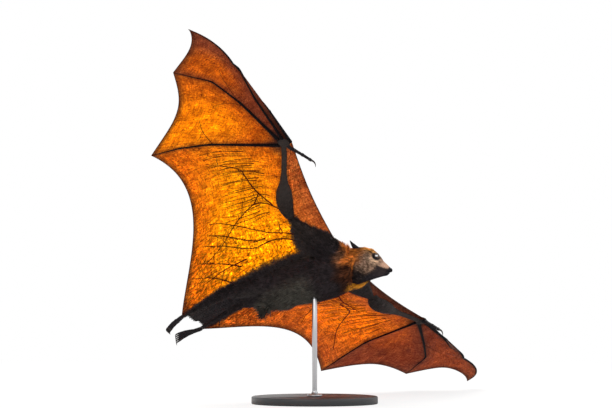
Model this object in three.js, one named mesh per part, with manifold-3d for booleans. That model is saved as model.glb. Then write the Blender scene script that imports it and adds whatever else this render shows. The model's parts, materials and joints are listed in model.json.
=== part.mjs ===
// A flying fox in banked flight, life size, on a plain display stand. Millimetres, +Z up.
// The bat is built in its own body frame, +X to the nose, +Y to its left, +Z to its back, with the
// origin midway between the shoulder joints, and the finished body is then turned onto its stand.
// The world origin is the centre of the underside of the stand's base.

import * as THREE from 'three';
import { mergeVertices } from 'three/addons/utils/BufferGeometryUtils.js';
import Module from 'manifold-3d';

const wasm = await Module();
wasm.setup();

// ---------------------------------------------------------------- driving dimensions

const GAP = 0.34; // clearance between pieces that touch
const MEMBRANE = 1.0; // thickness of the wing skin
const SHOULDER_HALF = 26; // midline to each shoulder joint
const HIP_BACK = 112; // shoulders to hips
const HIP_HALF = 19; // midline to each hip joint

// Bone lengths from the root outward.
const HUMERUS = 112;
const FOREARM = 163;
const THUMB = 42;
const DIGITS = {
  2: [84, 30],
  3: [115, 84, 118],
  4: [113, 68, 66],
  5: [118, 49, 49],
};

// Direction of each bone in degrees: [forward of straight out, above the body's horizontal plane].
// lead is how far in front of the wrist's middle the second finger is rooted, and thumbRoot where the
// thumb is, as [forward, outward, up].
// tipBow is how far the last bone of the third finger bows forward, and at what share of its length
// it bends. tipSag is how far the free edge behind it is drawn in, as a share of the fingers' length,
// and how evenly: under 1, the deepest place lies nearer the third finger. pull and push steer the
// main web's free edge: the first is measured from the fifth finger's tip, the second from the ankle,
// as [forward, outward, up].
const WING_POSE = {
  right: {
    humerus: [-18, 15],
    forearm: [19, 12.5],
    lead: 12,
    thumbRoot: [8, -16, -4],
    thumb: [90, -48],
    tipBow: [9, 0.55],
    tipSag: [0.047, 0.75],
    pull: [67, -113, -19],
    push: [53, 105, 23],
    2: [[7.5, 7.5], [-2, 6]],
    3: [[-0.5, 11], [5, 4.5], [-20, 13]],
    4: [[-14.5, 13.5], [-19, 11], [-45, 6]],
    5: [[-59, 0], [-57, -8.5], [-62, -14]],
  },
  left: {
    humerus: [0, 5],
    forearm: [8.5, 12.5],
    lead: 8,
    thumbRoot: [8, 0, -4],
    thumb: [115, -48],
    tipBow: [18, 0.85],
    tipSag: [0.12, 1],
    pull: [59, -203, -20],
    push: [77, 40, -2],
    2: [[8.5, 3.5], [-5, 3]],
    3: [[2, 12.5], [0.5, 9.5], [-16.5, 11]],
    4: [[-16, 12.5], [-17, 13], [-49.5, 7.5]],
    5: [[-68.5, 9.5], [-67.5, -0.5], [-69, -3.5]],
  },
};

// How far in front of the wrist's middle each finger is rooted, and how far above it.
// The second finger is rooted as far in front as the pose's lead says.
const ROOTS = { 3: [2.4, 1], 4: [-2.4, 1], 5: [-7, -1] };
const SECOND_ABOVE = -1;

// Knee, ankle and toe tips of each leg, and the rear corner of its web, which the heel spur holds:
// [forward, outward, up] from the body's origin. splay is half the width across the toe tips.
const LEG_POSE = {
  right: {
    knee: [-185, 42, -15],
    ankle: [-263, 42, -33.5],
    toes: [-291, 38, -45],
    corner: [-253, 0.4, -22],
    splay: 5,
  },
  left: {
    knee: [-186, 30, 7],
    ankle: [-258, 31, -17.5],
    toes: [-299, 18, -27],
    corner: [-249, 0.4, -21],
    splay: 12,
  },
};

// How the body is held on the stand, and how the head is held in the same world frame.
const HEADING = -14.5;
const PITCH = 17.5;
const BANK = -31;
const BODY_HEIGHT = 222;
const HEAD_HEADING = -8;
const HEAD_PITCH = -20;
const HEAD_BANK = -20;
const HEAD_AT = [40, -4, -10]; // middle of the skull, in the body frame

// The trunk, coat included: [forward, up, half width, half depth] of each section.
const TRUNK = [
  [-152, -6, 12, 12],
  [-142, -7, 24, 22],
  [-124, -8, 34, 29],
  [-98, -8, 41, 34],
  [-68, -9, 45, 38],
  [-38, -10, 46, 41],
  [-12, -9, 43, 41],
  [12, -9.5, 38, 35.5],
];

// The head, coat included: [behind the nose tip, half width, top, bottom] of each section.
const SKULL_BACK = 45; // nose tip to the middle of the skull
const HEAD = [
  [1, 3.6, 0.8, -6],
  [3.5, 5.8, 2.8, -11],
  [11, 8.2, 6.6, -17],
  [20, 10.8, 12, -24.5],
  [30, 14.5, 18.2, -34],
  [40, 19, 22, -44],
  [50, 21.5, 21.5, -46],
  [61, 21, 17.5, -37],
  [71, 17, 12, -20],
];
const JAW_NARROWING = 0.25; // share of its width that the head loses towards the chin
const EYE_AT = [-30.6, 8.3, 7.5]; // behind the nose tip, outward, up
const EYE_RADIUS = 6;
const EAR_AT = [-64, 14, 8.5]; // behind the nose tip, outward, up
const EAR_LEAN = [-12.5, 9, 6]; // both ears are laid back
const EAR_BASE = [1, 0, 0.3]; // the way the ear's root runs along the head
const EAR_LENGTH = 21;
const EAR_WIDTH = 14;
const EAR_THICK = 1.6;
const EAR_SINK = 4; // how far the ear is rooted in the coat
const EAR_CUP = 3.5; // how far its edges curl out from its middle

const BASE_RADIUS = 100;
const BASE_THICK = 12;
const ROD_RADIUS = 4;
const ROD_UNDER = [-52, 0, -36]; // where the rod meets the belly, in the body frame
const ROD_SINK = 10; // how far the rod reaches into the belly

// ---------------------------------------------------------------- vectors and frames

const rad = THREE.MathUtils.degToRad;
const lerp = THREE.MathUtils.lerp;
const vec = (x, y, z) => new THREE.Vector3(x, y, z);
const UP = vec(0, 0, 1);

/** A turn by heading, then nose up by pitch, then left wing up by bank, in degrees. */
function turn(heading, pitch, bank) {
  const e = new THREE.Euler(rad(bank), rad(-pitch), rad(heading), 'ZYX');
  return new THREE.Matrix4().makeRotationFromEuler(e);
}

/** The unit vector of a bone that leans forward and up from straight out to one side. */
function direction([forward, up], side) {
  const flat = Math.cos(rad(up));
  return vec(Math.sin(rad(forward)) * flat, side * Math.cos(rad(forward)) * flat, Math.sin(rad(up)));
}

/** A body point given as [forward, outward, up] on one side. */
const sided = ([x, out, z], side) => vec(x, side * out, z);

const mix = (a, b, t) => a.clone().lerp(b, t);

// ---------------------------------------------------------------- solids

/** A closed three.js geometry as a solid that can be cut and joined. */
function solid(geometry) {
  const bare = geometry.clone();
  bare.deleteAttribute('normal');
  bare.deleteAttribute('uv');
  const merged = mergeVertices(bare, 1e-4);
  const vertProperties = new Float32Array(merged.attributes.position.array);
  const triVerts = new Uint32Array(merged.index.array);
  return new wasm.Manifold(new wasm.Mesh({ numProp: 3, vertProperties, triVerts }));
}

/** A geometry of its own from points and triangles, turned outward if it is inside out. */
function closedGeometry(points, faces) {
  let volume = 0;
  for (let i = 0; i < faces.length; i += 3) {
    const [a, b, c] = [points[faces[i]], points[faces[i + 1]], points[faces[i + 2]]];
    volume += a.dot(b.clone().cross(c));
  }
  const index = volume > 0 ? faces : [...faces].reverse();
  const geometry = new THREE.BufferGeometry();
  geometry.setAttribute('position', new THREE.Float32BufferAttribute(points.flatMap((p) => p.toArray()), 3));
  geometry.setIndex(index);
  return geometry;
}

/** A closed skin over rings with the same number of points, with one point at each end. */
function loft(start, rings, end) {
  const n = rings[0].length;
  const points = [start, ...rings.flat(), end];
  const last = 1 + (rings.length - 1) * n;
  const faces = [];
  for (let j = 0; j < n; j += 1) {
    const k = (j + 1) % n;
    faces.push(0, 1 + k, 1 + j);
    for (let a = 1; a < last; a += n) {
      faces.push(a + j, a + k, a + n + k, a + j, a + n + k, a + n + j);
    }
    faces.push(last + j, last + k, points.length - 1);
  }
  return solid(closedGeometry(points, faces));
}

/** An oval ring round a centre. */
function ring(centre, across, along, halfAcross, halfAlong, sides) {
  return Array.from({ length: sides }, (_, i) => {
    const a = (i / sides) * Math.PI * 2;
    return centre
      .clone()
      .addScaledVector(across, Math.cos(a) * halfAcross)
      .addScaledVector(along, Math.sin(a) * halfAlong);
  });
}

/** A rounded limb along a curve. Each station is [share of the length, half width, half depth]. */
function limb(curve, stations, sides) {
  const frames = stations.map(([t, w, d]) => {
    const tangent = curve.getTangentAt(t);
    const across = tangent.clone().cross(UP).normalize();
    const along = across.clone().cross(tangent).normalize();
    return { p: curve.getPointAt(t), tangent, across, along, w, d };
  });
  const rings = frames.map((s) => ring(s.p, s.across, s.along, s.w, s.d, sides));
  const [a, z] = [frames[0], frames[frames.length - 1]];
  const start = a.p.clone().addScaledVector(a.tangent, -0.5 * a.w);
  const end = z.p.clone().addScaledVector(z.tangent, 0.5 * z.w);
  return loft(start, rings, end);
}

/** A closed sheet of even thickness over a surface f(u, v). */
function sheet(f, across, down, thickness) {
  const step = 0.01;
  const top = [];
  const bottom = [];
  for (let j = 0; j <= down; j += 1) {
    for (let i = 0; i <= across; i += 1) {
      const [u, v] = [i / across, j / down];
      const [u0, u1] = [Math.max(u - step, 0), Math.min(u + step, 1)];
      const [v0, v1] = [Math.max(v - step, 0), Math.min(v + step, 1)];
      const du = f(u1, v).sub(f(u0, v));
      const dv = f(u, v1).sub(f(u, v0));
      const normal = du.cross(dv).normalize();
      const p = f(u, v);
      top.push(p.clone().addScaledVector(normal, thickness / 2));
      bottom.push(p.clone().addScaledVector(normal, -thickness / 2));
    }
  }
  const row = across + 1;
  const under = top.length;
  const faces = [];
  for (let j = 0; j < down; j += 1) {
    for (let i = 0; i < across; i += 1) {
      const a = j * row + i;
      faces.push(a, a + 1, a + row + 1, a, a + row + 1, a + row);
      faces.push(under + a, under + a + row + 1, under + a + 1);
      faces.push(under + a, under + a + row, under + a + row + 1);
    }
  }
  const wall = (a, b) => faces.push(a, under + a, under + b, a, under + b, b);
  for (let i = 0; i < across; i += 1) {
    wall(i, i + 1);
    wall(down * row + i + 1, down * row + i);
  }
  for (let j = 0; j < down; j += 1) {
    wall((j + 1) * row, j * row);
    wall(j * row + across, (j + 1) * row + across);
  }
  return solid(closedGeometry([...top, ...bottom], faces));
}

/** The surface between four edges: c0 and c1 run along u, d0 and d1 along v. */
function patch(c0, c1, d0, d1) {
  const [p00, p10, p01, p11] = [c0(0), c0(1), c1(0), c1(1)];
  return (u, v) => {
    const p = mix(c0(u), c1(u), v).add(mix(d0(v), d1(v), u));
    return p.sub(mix(mix(p00, p10, u), mix(p01, p11, u), v));
  };
}

// ---------------------------------------------------------------- pieces

const COLOURS = {
  fur: 0x2b211c,
  collar: 0x9a5a2a,
  face: 0x7b6a5e,
  skin: 0x1f1a1c,
  membrane: 0xd9761a,
  eye: 0x140c08,
  claw: 0x8a8078,
  stand: 0x26282b,
};

const pieces = []; // finished pieces, each {name, body, colour}
const claimed = []; // space already taken, each piece grown by the gap

/** Adds a piece. It gives way, by the gap, to the pieces that were added before it. */
function add(name, colour, make) {
  const whole = make();
  const near = claimed.filter((other) => touches(whole, other));
  const cut = near.reduce((left, other) => left.subtract(other), whole);
  const parts = cut.decompose().sort((a, b) => b.volume() - a.volume());
  pieces.push({ name, body: parts[0], colour });
  claimed.push(swell(whole));
}

/** A solid grown by the gap, each of its points moved out along the surface's own direction. */
function swell(body) {
  const geometry = geometryOf(body);
  const { position, normal } = geometry.attributes;
  for (let i = 0; i < position.count; i += 1) {
    const p = vec(0, 0, 0).fromBufferAttribute(position, i);
    const n = vec(0, 0, 0).fromBufferAttribute(normal, i);
    p.addScaledVector(n, GAP);
    position.setXYZ(i, p.x, p.y, p.z);
  }
  return solid(geometry);
}

/** Whether the boxes round two solids meet. */
function touches(a, b) {
  const [p, q] = [a.boundingBox(), b.boundingBox()];
  return [0, 1, 2].every((k) => p.min[k] <= q.max[k] && q.min[k] <= p.max[k]);
}

// ---------------------------------------------------------------- trunk, neck and head

const bodyTurn = turn(HEADING, PITCH, BANK);
const headTurn = bodyTurn.clone().invert().multiply(turn(HEAD_HEADING, HEAD_PITCH, HEAD_BANK));
const headPlace = headTurn.clone().setPosition(...HEAD_AT);

/** A point of the head, given from the nose tip, in the body frame. */
const headPoint = (x, y, z) => vec(x + SKULL_BACK, y, z).applyMatrix4(headPlace);

function trunk() {
  const side = vec(0, 1, 0);
  const rings = TRUNK.map(([x, z, w, d]) => ring(vec(x, 0, z), side, UP, w, d, 16));
  const [first, last] = [TRUNK[0], TRUNK[TRUNK.length - 1]];
  const start = vec(first[0] - 5, 0, first[1]);
  const end = vec(last[0], 0, last[1]);
  return loft(start, rings, end).add(sheath());
}

/** The male's small sheath under the hips. */
function sheath() {
  const line = new THREE.LineCurve3(vec(-133, 0, -24), vec(-142.5, 0, -52));
  return limb(line, [[0, 7.5, 7.5], [0.5, 5, 5], [1, 1.4, 1.4]], 6);
}

/** The neck and its mane, from the trunk's front face to the back of the head. */
function neck() {
  const [x, z, w, d] = TRUNK[TRUNK.length - 1];
  const side = vec(0, 1, 0);
  const back = headPoint(-60, 0, -11);
  const headSide = vec(0, 1, 0).transformDirection(headTurn);
  const headUp = vec(0, 0, 1).transformDirection(headTurn);
  const base = vec(x - 4, 0, z);
  const collar = mix(base, back, 0.5).add(vec(2, 2, -8));
  const front = headPoint(-43, 0, -15);
  const rings = [
    ring(base, side, UP, w, d, 16),
    ring(collar, mix(side, headSide, 0.5).normalize(), mix(UP, headUp, 0.5).normalize(), 35, 33, 16),
    ring(back, headSide, headUp, 25, 27, 16),
    ring(front, headSide, headUp, 17, 21, 16),
  ];
  return loft(base, rings, headPoint(-39, 0, -15));
}

function head() {
  return loft(headPoint(0.5, 0, -1), HEAD.map(headRing), headPoint(-75, 0, -1));
}

/** One section of the head: a round top and a narrower jaw. */
function headRing([back, w, top, bottom]) {
  return Array.from({ length: 14 }, (_, i) => {
    const a = (i / 14) * Math.PI * 2;
    const s = Math.sin(a);
    const y = w * Math.cos(a) * (s < 0 ? 1 - JAW_NARROWING * s * s : 1);
    return headPoint(-back, y, s > 0 ? top * s : -bottom * s);
  });
}

function nose() {
  const ball = new THREE.SphereGeometry(1, 8, 6);
  ball.scale(3.6, 4.6, 3.6);
  ball.applyMatrix4(headTurn);
  ball.translate(...headPoint(-2, 0, -1.3).toArray());
  return solid(ball);
}

function eye(side) {
  const ball = new THREE.SphereGeometry(EYE_RADIUS, 10, 6);
  const [back, out, up] = EYE_AT;
  ball.translate(...headPoint(back, side * out, up).toArray());
  return solid(ball);
}

/** A pointed, cupped ear that opens forward and outward. */
function ear(side) {
  const root = sided(EAR_AT, side);
  const lean = sided(EAR_LEAN, side).normalize();
  const across = vec(...EAR_BASE).normalize();
  const hollow = across.clone().cross(lean).normalize().multiplyScalar(side);
  const half = EAR_WIDTH / 2;
  const shape = (u, v) => {
    const w = half * (1 - 0.92 * Math.pow(v, 1.25));
    const s = 2 * u - 1;
    const p = root.clone().addScaledVector(lean, EAR_LENGTH * v - EAR_SINK);
    p.addScaledVector(across, w * s).addScaledVector(hollow, EAR_CUP * s * s * (1 - v));
    return headPoint(p.x, p.y, p.z);
  };
  return sheet(shape, 4, 4, EAR_THICK);
}

// ---------------------------------------------------------------- legs

function leg(side, pose) {
  const hip = vec(-HIP_BACK, side * HIP_HALF, -6);
  return {
    hip,
    knee: sided(pose.knee, side),
    ankle: sided(pose.ankle, side),
    toes: sided(pose.toes, side),
    corner: sided(pose.corner, side),
    splay: pose.splay,
  };
}

const line = (a, b) => new THREE.LineCurve3(a, b);

const thigh = (at) => () =>
  limb(line(at.hip, at.knee), [[0, 20, 19], [0.5, 19.5, 16], [0.85, 15, 12.5], [1, 11.5, 9]], 10);

const shin = (at) => () =>
  limb(line(at.knee, at.ankle), [[0, 11.5, 9.5], [0.3, 8, 7.2], [0.7, 5, 5], [1, 3.8, 3.8]], 8);

/** The sole and five toes, each toe bent down to its claw. */
const foot = (side, at) => () => {
  const reach = at.toes.clone().sub(at.ankle);
  const ahead = reach.clone().normalize();
  const across = ahead.clone().cross(UP).normalize();
  const below = across.clone().cross(ahead).negate();
  const length = reach.length();
  const heel = at.ankle.clone();
  const ball = heel.clone().addScaledVector(ahead, 0.32 * length);
  let shape = limb(line(heel, ball), [[0, 3.4, 3.2], [0.6, 4.4, 3], [1, 5.4, 2.4]], 6);
  for (let i = 0; i < 5; i += 1) {
    const spread = (i - 2) / 2;
    const root = ball.clone().addScaledVector(across, 4 * spread);
    const knuckle = ball
      .clone()
      .addScaledVector(ahead, 0.45 * length)
      .addScaledVector(across, 0.85 * at.splay * spread);
    const claw = ball
      .clone()
      .addScaledVector(ahead, 0.66 * length)
      .addScaledVector(across, at.splay * spread)
      .addScaledVector(below, 5);
    const toe = new THREE.QuadraticBezierCurve3(root, knuckle, claw);
    shape = shape.add(limb(toe, [[0, 1.5, 1.5], [0.6, 1.2, 1.3], [1, 0.5, 0.7]], 4));
  }
  return shape;
};

// ---------------------------------------------------------------- wings

/** The joints of one wing, root outward. */
function wing(side, pose) {
  const shoulder = vec(0, side * SHOULDER_HALF, 0);
  const elbow = shoulder.clone().addScaledVector(direction(pose.humerus, side), HUMERUS);
  const wrist = elbow.clone().addScaledVector(direction(pose.forearm, side), FOREARM);
  const fingers = {};
  for (const digit of [2, 3, 4, 5]) {
    const [ahead, above] = ROOTS[digit] ?? [pose.lead, SECOND_ABOVE];
    const points = [wrist.clone().add(vec(ahead, 0, above))];
    const at = wrist.clone();
    DIGITS[digit].forEach((length, i) => {
      at.addScaledVector(direction(pose[digit][i], side), length);
      points.push(at.clone());
    });
    fingers[digit] = points;
  }
  const lower = forearmCurve({ elbow, wrist });
  return { ...pose, side, shoulder, elbow, wrist, lower, fingers, thumb: direction(pose.thumb, side) };
}

const STRAIGHT = [0, 0.55]; // the bow of a finger whose last bone is straight

/** A finger's curve: nearly straight bones with a soft turn at each knuckle, the last one bowed. */
function fingerCurve(points, [bow, bend] = STRAIGHT) {
  const path = new THREE.CurvePath();
  const soft = 0.12;
  let from = points[0];
  for (let i = 1; i < points.length - 1; i += 1) {
    const before = mix(points[i], points[i - 1], soft);
    const after = mix(points[i], points[i + 1], soft);
    path.add(new THREE.LineCurve3(from, before));
    path.add(new THREE.QuadraticBezierCurve3(before, points[i], after));
    from = after;
  }
  const tip = points[points.length - 1];
  path.add(new THREE.QuadraticBezierCurve3(from, mix(from, tip, bend).add(vec(2 * bow, 0, 0)), tip));
  return path;
}

/** A finger as a tapering rod with a swelling at each knuckle. */
const finger = (points, bow) => () => {
  const curve = fingerCurve(points, bow);
  const lengths = points.slice(1).map((p, i) => p.distanceTo(points[i]));
  const total = lengths.reduce((a, b) => a + b, 0);
  const stations = [];
  let done = 0;
  const thick = (s) => lerp(2.6, 1.1, Math.pow(s, 0.8));
  lengths.forEach((length, i) => {
    const [a, b] = [done / total, (done + length) / total];
    const bump = i === 0 ? 0 : 0.4;
    stations.push([a, thick(a) + bump, thick(a) + bump]);
    stations.push([lerp(a, b, 0.5), thick((a + b) / 2), thick((a + b) / 2)]);
    stations.push([lerp(a, b, 0.9), thick(b), thick(b)]);
    done += length;
  });
  stations.push([1, 0.8, 0.8]);
  return limb(curve, stations, 6);
};

/** The upper arm's coat and muscle, wide at the chest and narrow at the elbow. */
const upperArm = (w) => () =>
  limb(
    new THREE.QuadraticBezierCurve3(w.shoulder, mix(w.shoulder, w.elbow, 0.5).add(vec(-10, 0, 0)), w.elbow),
    [[0, 27, 20], [0.3, 26, 17], [0.6, 18.5, 12], [0.85, 11, 8], [0.97, 7, 6.5]],
    10,
  );

/** The forearm's middle line, which bows back near the elbow. */
const forearmCurve = (w) => {
  const bulge = mix(w.elbow, w.wrist, 0.22).add(vec(-17, 0, -2));
  return new THREE.CubicBezierCurve3(w.elbow, bulge, mix(w.elbow, w.wrist, 0.67), w.wrist);
};

/** The forearm, its muscle bulging behind the bone near the elbow. */
const forearm = (w) => () =>
  limb(
    w.lower,
    [[0, 7, 6.5], [0.12, 11.5, 9], [0.24, 14, 9.4], [0.36, 13, 9], [0.48, 7.4, 6.4], [0.62, 4.9, 4.9], [1, 4.9, 4.5]],
    9,
  );

const wristBlock = (w) => () => {
  const out = w.wrist.clone().sub(w.elbow).normalize();
  const more = (w.lead - 7) / 2; // the block reaches forward to the second finger's root
  const end = w.wrist.clone().addScaledVector(out, 7).add(vec(more, 0, 0));
  const curve = line(w.wrist.clone().addScaledVector(out, -5), end);
  return limb(curve, [[0, 5, 5], [0.35, 8.6 + more / 2, 5.6], [0.8, 9.6 + more, 4.6], [1, 8.6 + more, 3.4]], 8);
};

/** The thumb's points: root, knuckle and the end of its flesh. */
function thumbPoints(w) {
  const root = w.wrist.clone().add(sided(w.thumbRoot, w.side));
  const end = root.clone().addScaledVector(w.thumb, THUMB);
  const knuckle = mix(root, end, 0.5).add(vec(1, 0, 0));
  return [root, knuckle, end];
}

const thumb = (w) => () => {
  const [root, knuckle, end] = thumbPoints(w);
  const curve = new THREE.QuadraticBezierCurve3(root, knuckle, end);
  return limb(curve, [[0, 3, 3], [0.45, 2.4, 2.4], [0.55, 2.9, 2.9], [0.9, 2.2, 2.2], [1, 1.6, 1.6]], 6);
};

const thumbClaw = (w) => () => {
  const [, , end] = thumbPoints(w);
  const bend = end.clone().add(vec(8, 0, -5));
  const tip = end.clone().add(vec(4, 0, -13));
  const curve = new THREE.QuadraticBezierCurve3(end, bend, tip);
  return limb(curve, [[0, 1.7, 2.2], [0.5, 1.3, 1.8], [1, 0.45, 0.5]], 6);
};

/** The skin between two fingers, its free edge drawn in by sag and its middle raised by billow. */
const webbing = (inner, outer, [sag, lean], billow, across, down) => () => {
  const shape = (u, v) => {
    const bow = Math.sin(Math.PI * Math.pow(u, lean));
    const t = lerp(0.05, 1, v) * (1 - sag * bow);
    const p = mix(inner.getPointAt(t), outer.getPointAt(t), u);
    return p.addScaledVector(UP, billow * bow * Math.sin(Math.PI * Math.min(t, 0.9)));
  };
  return sheet(shape, across, down, MEMBRANE);
};

/** The front web from the neck to the wrist, ahead of the arm. */
const propatagium = (w) => () => {
  const root = vec(10, w.side * 44, 8);
  const reach = w.wrist.clone().add(vec(w.lead + 1.5, 0, -1));
  const arm = (u) => armPoint(w, 1 - u);
  const edge = (u) => mix(root, reach, u).add(vec(-6 * Math.sin(Math.PI * u), 0, 0));
  const shape = (u, v) => mix(arm(lerp(0.04, 0.985, u)), edge(u), v);
  return sheet(shape, 8, 2, MEMBRANE);
};

/** A point along the arm, from the wrist at 0 to the shoulder at 1. */
function armPoint(w, t) {
  const bend = FOREARM / (FOREARM + HUMERUS);
  return t < bend ? w.lower.getPointAt(1 - t / bend) : mix(w.elbow, w.shoulder, (t - bend) / (1 - bend));
}

/** The wing's main web, from the fifth finger to the flank and the leg. */
const plagiopatagium = (w, at) => () => {
  const tip = w.fingers[5][3];
  const pull = tip.clone().add(sided(w.pull, w.side));
  const push = at.ankle.clone().add(sided(w.push, w.side));
  const trailing = new THREE.CubicBezierCurve3(tip, pull, push, at.ankle);
  const flank = new THREE.CatmullRomCurve3([
    w.shoulder,
    vec(-50, w.side * 28, 6),
    at.hip,
    at.knee,
    at.ankle,
  ]);
  const last = fingerCurve(w.fingers[5]);
  const [ahead, above] = ROOTS[5];
  const surface = patch(
    (u) => armPoint(w, u),
    (u) => trailing.getPoint(u),
    (v) => last.getPointAt(v).sub(vec(ahead, 0, above).multiplyScalar(Math.pow(1 - v, 20))),
    (v) => flank.getPoint(v),
  );
  const shape = (u, v) => {
    const lift = 9 * Math.sin(Math.PI * u) * Math.sin(Math.PI * v);
    return surface(u, v).addScaledVector(UP, lift);
  };
  return sheet(shape, 9, 6, MEMBRANE);
};

/** The narrow flap of skin on the inner side of each leg. */
const uropatagium = (side, at) => () => {
  const bone = new THREE.CatmullRomCurve3([at.hip, at.knee, at.ankle]);
  const rump = vec(-146, side * 0.4, -8);
  const edge = line(rump, at.corner);
  return sheet((u, v) => mix(bone.getPoint(lerp(0.25, 0.94, u)), edge.getPoint(u), v), 6, 2, MEMBRANE);
};

// ---------------------------------------------------------------- assembly in the body frame

const rodPlace = vec(...ROD_UNDER).applyMatrix4(bodyTurn);
const bodyPlace = bodyTurn.clone().setPosition(-rodPlace.x, -rodPlace.y, BODY_HEIGHT);
const rodTop = BODY_HEIGHT + rodPlace.z + ROD_SINK;

/** The rod in the body frame, so that the belly can be hollowed for it. */
function rodInBody() {
  const height = rodTop - BASE_THICK;
  const rod = new THREE.CylinderGeometry(ROD_RADIUS, ROD_RADIUS, height, 16);
  rod.rotateX(Math.PI / 2);
  rod.translate(0, 0, BASE_THICK + height / 2);
  rod.applyMatrix4(bodyPlace.clone().invert());
  return solid(rod);
}

claimed.push(swell(rodInBody()));
for (const [name, side] of [['left', 1], ['right', -1]]) {
  add(`eye_${name}`, COLOURS.eye, () => eye(side));
}
add('nose', COLOURS.skin, nose);
add('trunk', COLOURS.fur, trunk);
add('neck', COLOURS.collar, neck);
add('head', COLOURS.face, head);
for (const [name, side] of [['left', 1], ['right', -1]]) {
  const w = wing(side, WING_POSE[name]);
  const at = leg(side, LEG_POSE[name]);
  const bow = (digit) => (digit === 3 ? w.tipBow : STRAIGHT);
  const [c2, c3, c4, c5] = [2, 3, 4, 5].map((digit) => fingerCurve(w.fingers[digit], bow(digit)));
  add(`ear_${name}`, COLOURS.skin, () => ear(side));
  add(`upper_arm_${name}`, COLOURS.fur, upperArm(w));
  add(`forearm_${name}`, COLOURS.skin, forearm(w));
  add(`wrist_${name}`, COLOURS.skin, wristBlock(w));
  add(`thumb_${name}`, COLOURS.skin, thumb(w));
  add(`thumb_claw_${name}`, COLOURS.claw, thumbClaw(w));
  for (const digit of [2, 3, 4, 5]) {
    add(`finger_${digit}_${name}`, COLOURS.skin, finger(w.fingers[digit], bow(digit)));
  }
  add(`thigh_${name}`, COLOURS.fur, thigh(at));
  add(`shin_${name}`, COLOURS.fur, shin(at));
  add(`foot_${name}`, COLOURS.skin, foot(side, at));
  add(`web_front_${name}`, COLOURS.membrane, propatagium(w));
  const short = fingerCurve([w.fingers[3][0], w.fingers[3][1], mix(w.fingers[3][1], w.fingers[3][2], 0.9)]);
  add(`web_2_3_${name}`, COLOURS.membrane, webbing(c2, short, [0.02, 1], 0, 2, 4));
  add(`web_3_4_${name}`, COLOURS.membrane, webbing(c3, c4, w.tipSag, 7, 4, 6));
  add(`web_4_5_${name}`, COLOURS.membrane, webbing(c4, c5, [0.11, 1], 9, 4, 6));
  add(`web_main_${name}`, COLOURS.membrane, plagiopatagium(w, at));
  add(`web_leg_${name}`, COLOURS.membrane, uropatagium(side, at));
}

// ---------------------------------------------------------------- the finished group

/** A named mesh with its own material. */
function named(name, geometry, colour, roughness, metalness) {
  const mesh = new THREE.Mesh(geometry, new THREE.MeshStandardMaterial({ color: colour, roughness, metalness }));
  mesh.name = name;
  return mesh;
}

/** A solid back as three.js geometry. */
function geometryOf(body) {
  const mesh = body.getMesh();
  const geometry = new THREE.BufferGeometry();
  geometry.setAttribute('position', new THREE.BufferAttribute(mesh.vertProperties, 3));
  geometry.setIndex(new THREE.BufferAttribute(mesh.triVerts, 1));
  geometry.computeVertexNormals();
  return geometry;
}

/** The base: a flat disc with a broken edge and a low collar round the rod's foot. */
function standBase() {
  const profile = [
    [0, 0],
    [BASE_RADIUS, 0],
    [BASE_RADIUS, BASE_THICK - 2],
    [BASE_RADIUS - 2, BASE_THICK],
    [0, BASE_THICK],
  ].map(([x, y]) => new THREE.Vector2(x, y));
  const base = new THREE.LatheGeometry(profile, 28);
  base.rotateX(Math.PI / 2);
  return base;
}

function standRod() {
  const foot = BASE_THICK + 0.3;
  const profile = [
    [0, 0],
    [3 * ROD_RADIUS, 0],
    [3 * ROD_RADIUS, 3],
    [ROD_RADIUS, 8],
    [ROD_RADIUS, rodTop - foot],
    [0, rodTop - foot],
  ].map(([x, y]) => new THREE.Vector2(x, y));
  const rod = new THREE.LatheGeometry(profile, 12);
  rod.rotateX(Math.PI / 2);
  rod.translate(0, 0, foot);
  return rod;
}

const bat = new THREE.Group();
bat.applyMatrix4(bodyPlace);
for (const { name, body, colour } of pieces) {
  bat.add(named(name, geometryOf(body), colour, 0.7, 0));
}

const model = new THREE.Group();
model.add(bat);
model.add(named('stand_base', standBase(), COLOURS.stand, 0.5, 0.4));
model.add(named('stand_rod', standRod(), COLOURS.stand, 0.35, 0.8));

export default model;
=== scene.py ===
import json
import math

import bpy
import numpy as np
from mathutils import Matrix
from mathutils.kdtree import KDTree

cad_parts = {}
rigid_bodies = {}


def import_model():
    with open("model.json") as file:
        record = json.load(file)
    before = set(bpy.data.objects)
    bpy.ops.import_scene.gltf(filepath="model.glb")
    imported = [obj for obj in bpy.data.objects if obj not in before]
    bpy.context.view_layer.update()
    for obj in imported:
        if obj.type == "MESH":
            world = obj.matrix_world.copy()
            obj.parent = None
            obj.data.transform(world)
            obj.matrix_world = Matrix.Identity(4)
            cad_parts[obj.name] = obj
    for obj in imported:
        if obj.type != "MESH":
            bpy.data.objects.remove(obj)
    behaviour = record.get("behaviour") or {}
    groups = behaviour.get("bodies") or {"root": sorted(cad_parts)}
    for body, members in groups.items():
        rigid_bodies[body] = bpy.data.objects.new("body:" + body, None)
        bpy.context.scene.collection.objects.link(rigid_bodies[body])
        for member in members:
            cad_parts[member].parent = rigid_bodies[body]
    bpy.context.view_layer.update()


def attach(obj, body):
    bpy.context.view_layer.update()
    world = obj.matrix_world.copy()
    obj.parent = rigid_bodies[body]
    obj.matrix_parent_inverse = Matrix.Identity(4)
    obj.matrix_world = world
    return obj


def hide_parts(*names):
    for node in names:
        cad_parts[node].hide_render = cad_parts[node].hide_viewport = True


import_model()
scene = bpy.context.scene


def put(name, data):
    """A new object in the scene."""
    ob = bpy.data.objects.new(name, data)
    scene.collection.objects.link(ob)
    return ob


def read(items, field, kind=np.int32, each=1):
    """One field of all the items of a mesh, as an array."""
    values = np.empty(len(items) * each, kind)
    items.foreach_get(field, values)
    return values


# ---------------------------------------------------------------- sizes, in mm, the same as the CAD's

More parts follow.
